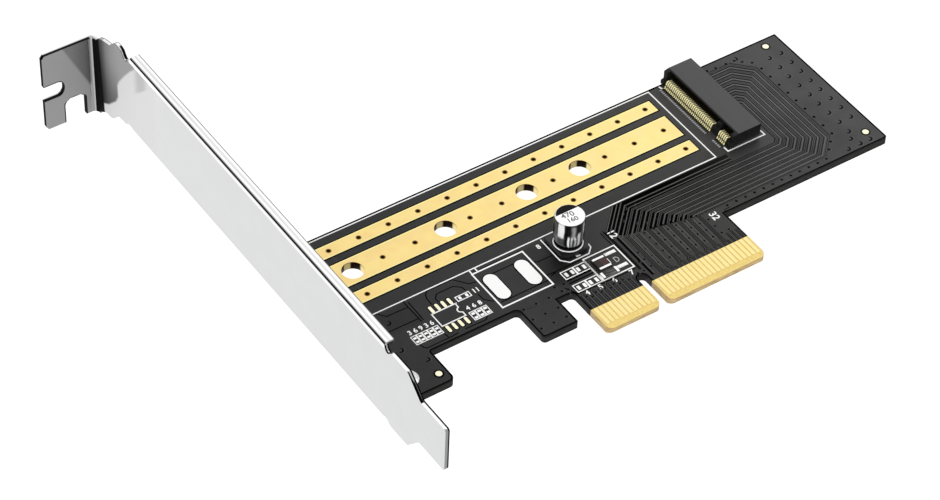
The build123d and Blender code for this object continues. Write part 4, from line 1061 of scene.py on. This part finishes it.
# painted shade: a brown ring where the strips' plating dips into each via
via_dip_shade = Build()
for n in range(12):
    for y in (6.50, -6.37):
        via_dip_shade.ring(-1.05 + 6.44 * n, y, 0.475, 0.13, 0.040, 0.053, n=20)
for x in (6.35, 13.32, 25.35, 32.37, 43.87, 55.65, 62.50, 69.28):
    via_dip_shade.ring(x, -0.05, 0.475, 0.13, 0.040, 0.053, n=20)
O_VC = via_dip_shade.done("via_dip_painted_shade_rings", [M_VIA_DIP_SHADE])
O_PR = print_.done("white_print", [M_INK, M_INKT])
O_EDGE_SHADE = painted_edge_shade.done("painted_edge_shade_line", [M_EDGE_SHADE])

# ------------------------------------------------------------------ capacitor's printed top
cap = Build()
CHORD = (21.5, 158.0)
CX, CY, CZ = 36.40, -15.35, 7.70
RT, RS = 2.37, 2.66            # flat top, and a little way down its rounded shoulder
# the dark sector lies towards +Y and -X; its chord runs a little across X
def cap_z(r):
    return CZ + 0.008 if r <= RT else CZ - 0.48 + math.sqrt(0.48 ** 2 - (r - RT + 0.01) ** 2) + 0.008


A0, A1 = CHORD
c0 = len(cap.v)
N = 24
rings = []
for r in (RS, (RS + RT) / 2, RT):
    row = []
    for i in range(N + 1):
        a = math.radians(A0 + (A1 - A0) * i / N)
        row.append(len(cap.v))
        cap.v.append(P(CX + r * math.cos(a), CY + r * math.sin(a), cap_z(r)))
    rings.append(row)
for j in range(2):
    for i in range(N):
        cap.face((rings[j][i], rings[j][i + 1], rings[j + 1][i + 1], rings[j + 1][i]), 0, True)
cap.face(tuple(rings[2]), 0)
cap.text("470", 1.72, 35.95, -15.28, CZ + 0.010, -7, 1, weight=0.040)
cap.text("160", 1.50, 36.05, -16.68, CZ + 0.010, -7, 1, weight=0.040)
O_CAP = cap.done("capacitor_print", [M_INKD, M_INKG])

# ------------------------------------------------------------------ solder
def dome(bd, x0, x1, y0, y1, h, nx=12, ny=8, p=2.2, z0=0.045):
    rows = []
    for j in range(ny + 1):
        v = -1 + 2 * j / ny
        row = []
        for i in range(nx + 1):
            u = -1 + 2 * i / nx
            z = z0 + h * (max(0.0, (1 - abs(u) ** p) * (1 - abs(v) ** p)) ** 0.5)
            row.append(len(bd.v))
            bd.v.append(P((x0 + x1) / 2 + u * (x1 - x0) / 2, (y0 + y1) / 2 + v * (y1 - y0) / 2, z))
        rows.append(row)
    for j in range(ny):
        for i in range(nx):
            bd.face((rows[j][i], rows[j][i + 1], rows[j + 1][i + 1], rows[j + 1][i]), 0, True)


def wedge(bd, x0, x1, y0, y1, zlow, zhigh, along, n=5, mat=0):
    """A concave solder fillet that climbs from zlow to zhigh in the direction along (+x, -x, +y, -y)."""
    rows = []
    for k in range(n + 1):
        t_ = k / n
        z = zlow + (zhigh - zlow) * (1 - math.sqrt(max(0.0, 1 - t_ * t_)))
        if along in ("+x", "-x"):
            xx = x0 + (x1 - x0) * t_ if along == "+x" else x1 - (x1 - x0) * t_
            row = [(xx, y0, 0.0), (xx, y0 + 0.02, z), (xx, y1 - 0.02, z), (xx, y1, 0.0)]
        else:
            yy = y0 + (y1 - y0) * t_ if along == "+y" else y1 - (y1 - y0) * t_
            row = [(x0, yy, 0.0), (x0 + 0.02, yy, z), (x1 - 0.02, yy, z), (x1, yy, 0.0)]
        rows.append([len(bd.v) + i for i in range(4)])
        for q in row:
            bd.v.append(P(*q))
    for k in range(n):
        for i in range(3):
            bd.face((rows[k][i], rows[k][i + 1], rows[k + 1][i + 1], rows[k + 1][i]), mat, True)
    bd.face(tuple(rows[-1]), mat)
    bd.face(tuple(reversed(rows[0])), mat)


sol = Build()
dome(sol, 40.50, 42.75, -21.42, -20.78, 0.24)
dome(sol, 40.50, 42.75, -25.22, -24.53, 0.24)
# fitted chips
wedge(sol, 37.30, 39.95, -21.26, -20.86, 0.02, 0.40, "-y", mat=1)
wedge(sol, 37.30, 39.95, -24.50, -24.16, 0.02, 0.34, "+y", mat=1)
wedge(sol, 36.40, 36.75, -26.05, -24.80, 0.02, 0.30, "+x")
wedge(sol, 40.30, 40.62, -26.05, -25.35, 0.02, 0.36, "-x", mat=1)
# capacitor's two pads
sol.plate([(35.95, -11.9), (35.95, -12.75), (36.85, -12.75), (36.85, -11.9)], 0.0, 0.05, 0)
sol.plate([(35.95, -17.95), (35.95, -18.8), (36.85, -18.8), (36.85, -17.95)], 0.0, 0.05, 0)
O_SOL = sol.done("chip_solder", [M_SOLDER, M_FILLET_SHADE])

joints = Build()
for n in list(range(1, 59, 2)) + list(range(67, 76, 2)):
    y = 9.25 - 0.25 * (n - 1)
    joints.plate([(75.32, y - 0.15), (75.95, y - 0.15), (75.95, y + 0.15), (75.32, y + 0.15)], 0.0, 0.02, 1)
    joints.plate([(75.95, y - 0.14), (76.55, y - 0.14), (76.55, y + 0.14), (75.95, y + 0.14)], 0.0, 0.02, 2)
for n in list(range(2, 59, 2)) + list(range(68, 76, 2)):
    y = 9.25 - 0.25 * (n - 1)
    joints.plate([(84.05, y - 0.14), (85.15, y - 0.14), (85.15, y + 0.14), (84.05, y + 0.14)], 0.0, 0.02, 0)
    wedge(joints, 84.75, 85.05, y - 0.12, y + 0.12, 0.02, 0.12, "-x", 3)
O_JT = joints.done("socket_solder", [M_DULL, M_PADGREY, M_TAIL_SHADOW])

# ------------------------------------------------------------------ stage
fm = Mat("floor")
fm.set(color=(0.93, 0.93, 0.93), rough=0.9, spec=0.0)
bpy.ops.mesh.primitive_plane_add(size=60.0, location=(0, 0, -0.16))
floor = bpy.context.object
floor.name = "floor"
floor.data.materials.append(fm.m)
floor.visible_glossy = False

# the studio that shows in the metal: bright overhead towards the back, pale below, dim towards the viewer's left
dm = bpy.data.materials.new("studio")
dm.use_nodes = True
t = dm.node_tree
t.nodes.clear()
d = Mat.__new__(Mat)
d.m, d.t, d.n = dm, t, 0
d.out = t.nodes.new("ShaderNodeOutputMaterial")
d.tc = t.nodes.new("ShaderNodeTexCoord")
nrm = d.new("ShaderNodeVectorMath", operation="NORMALIZE")
d.link(d.tc.outputs["Object"], nrm.inputs[0])
sep = d.new("ShaderNodeSeparateXYZ")
d.link(nrm.outputs[0], sep.inputs[0])
dx, dy, dz = sep.outputs


def lobe(vx, vy, vz, lo, hi):
    L = math.sqrt(vx * vx + vy * vy + vz * vz)
    nd = d.new("ShaderNodeVectorMath", operation="DOT_PRODUCT")
    d.link(nrm.outputs[0], nd.inputs[0])
    nd.inputs[1].default_value = (vx / L, vy / L, vz / L)
    return d.ramp(nd.outputs["Value"], math.cos(math.radians(lo)), math.cos(math.radians(hi)))


up = d.math("MULTIPLY", lobe(0.42, 0.56, 0.71, 52, 24), d.math("MULTIPLY_ADD", dx, 1.50, 0.08))
tot = d.math("ADD", 0.42, up)
tot = d.math("MULTIPLY_ADD", lobe(-0.416, 0.575, -0.704, 42, 16), 0.58, tot)
tot = d.math("MULTIPLY_ADD", lobe(-0.704, 0.575, 0.416, 32, 12), -0.38, tot)
tot = d.math("MAXIMUM", tot, 0.03)
em = d.new("ShaderNodeEmission")
d.link(tot, em.inputs[1])
d.link(em.outputs[0], d.out.inputs[0])
dm.cycles.emission_sampling = "NONE"
bpy.ops.mesh.primitive_uv_sphere_add(segments=48, ring_count=24, radius=5.0, location=(0, 0, 0))
dome = bpy.context.object
dome.name = "studio"
dome.data.materials.append(dm)
dome.visible_camera = False
dome.visible_diffuse = False
dome.visible_shadow = False
dome.visible_transmission = False

world = bpy.data.worlds.new("studio_world")
bpy.context.scene.world = world
world.use_nodes = True
world.node_tree.nodes["Background"].inputs[0].default_value = (1.0, 1.0, 1.0, 1.0)
world.node_tree.nodes["Background"].inputs[1].default_value = 1.0


def area(name, loc, target, size, power):
    li = bpy.data.lights.new(name, "AREA")
    li.shape = "DISK"
    li.size = size
    li.energy = power
    o = bpy.data.objects.new(name, li)
    bpy.context.scene.collection.objects.link(o)
    o.location = loc
    o.rotation_mode = "QUATERNION"
    o.rotation_quaternion = (Vector(target) - Vector(loc)).to_track_quat("-Z", "Y")
    o.visible_glossy = False
    o.visible_camera = False
    return o


area("key", (-0.25, 0.35, 0.9), (0, 0, 0), 0.5, 1.8)
area("fill", (-0.62, -0.72, 0.34), (0, 0, 0), 0.6, 4.0)

# ------------------------------------------------------------------ camera
cam = bpy.data.cameras.new("camera")
cam.sensor_fit = "HORIZONTAL"
cam.sensor_width = 36.0
FPX = 3349.7229700894536
cam.lens = FPX * 36.0 / 940.0
cam.clip_start, cam.clip_end = 0.01, 100.0
co = bpy.data.objects.new("camera", cam)
bpy.context.scene.collection.objects.link(co)
rv = Vector((2.27549883114012, -0.683019009127607, 0.32491568508981816))
R = Matrix.Rotation(rv.length, 3, rv.normalized())      # design mm to camera, x right, y down, z forward
T = Vector((-21.0108856647983, 3.600559929488247, 600.6439054740795))
C = -(R.transposed() @ T)
flip = Matrix(((1, 0, 0), (0, -1, 0), (0, 0, -1)))
Rw = (flip @ R).transposed()
co.matrix_world = Matrix.Translation(Vector(P(C.x, C.y, C.z))) @ Rw.to_4x4()
cam.shift_x = -0.05 / 940.0
cam.shift_y = 0.42 / 940.0
bpy.context.scene.camera = co

bpy.context.scene.view_settings.view_transform = "Standard"
bpy.context.scene.view_settings.look = "None"
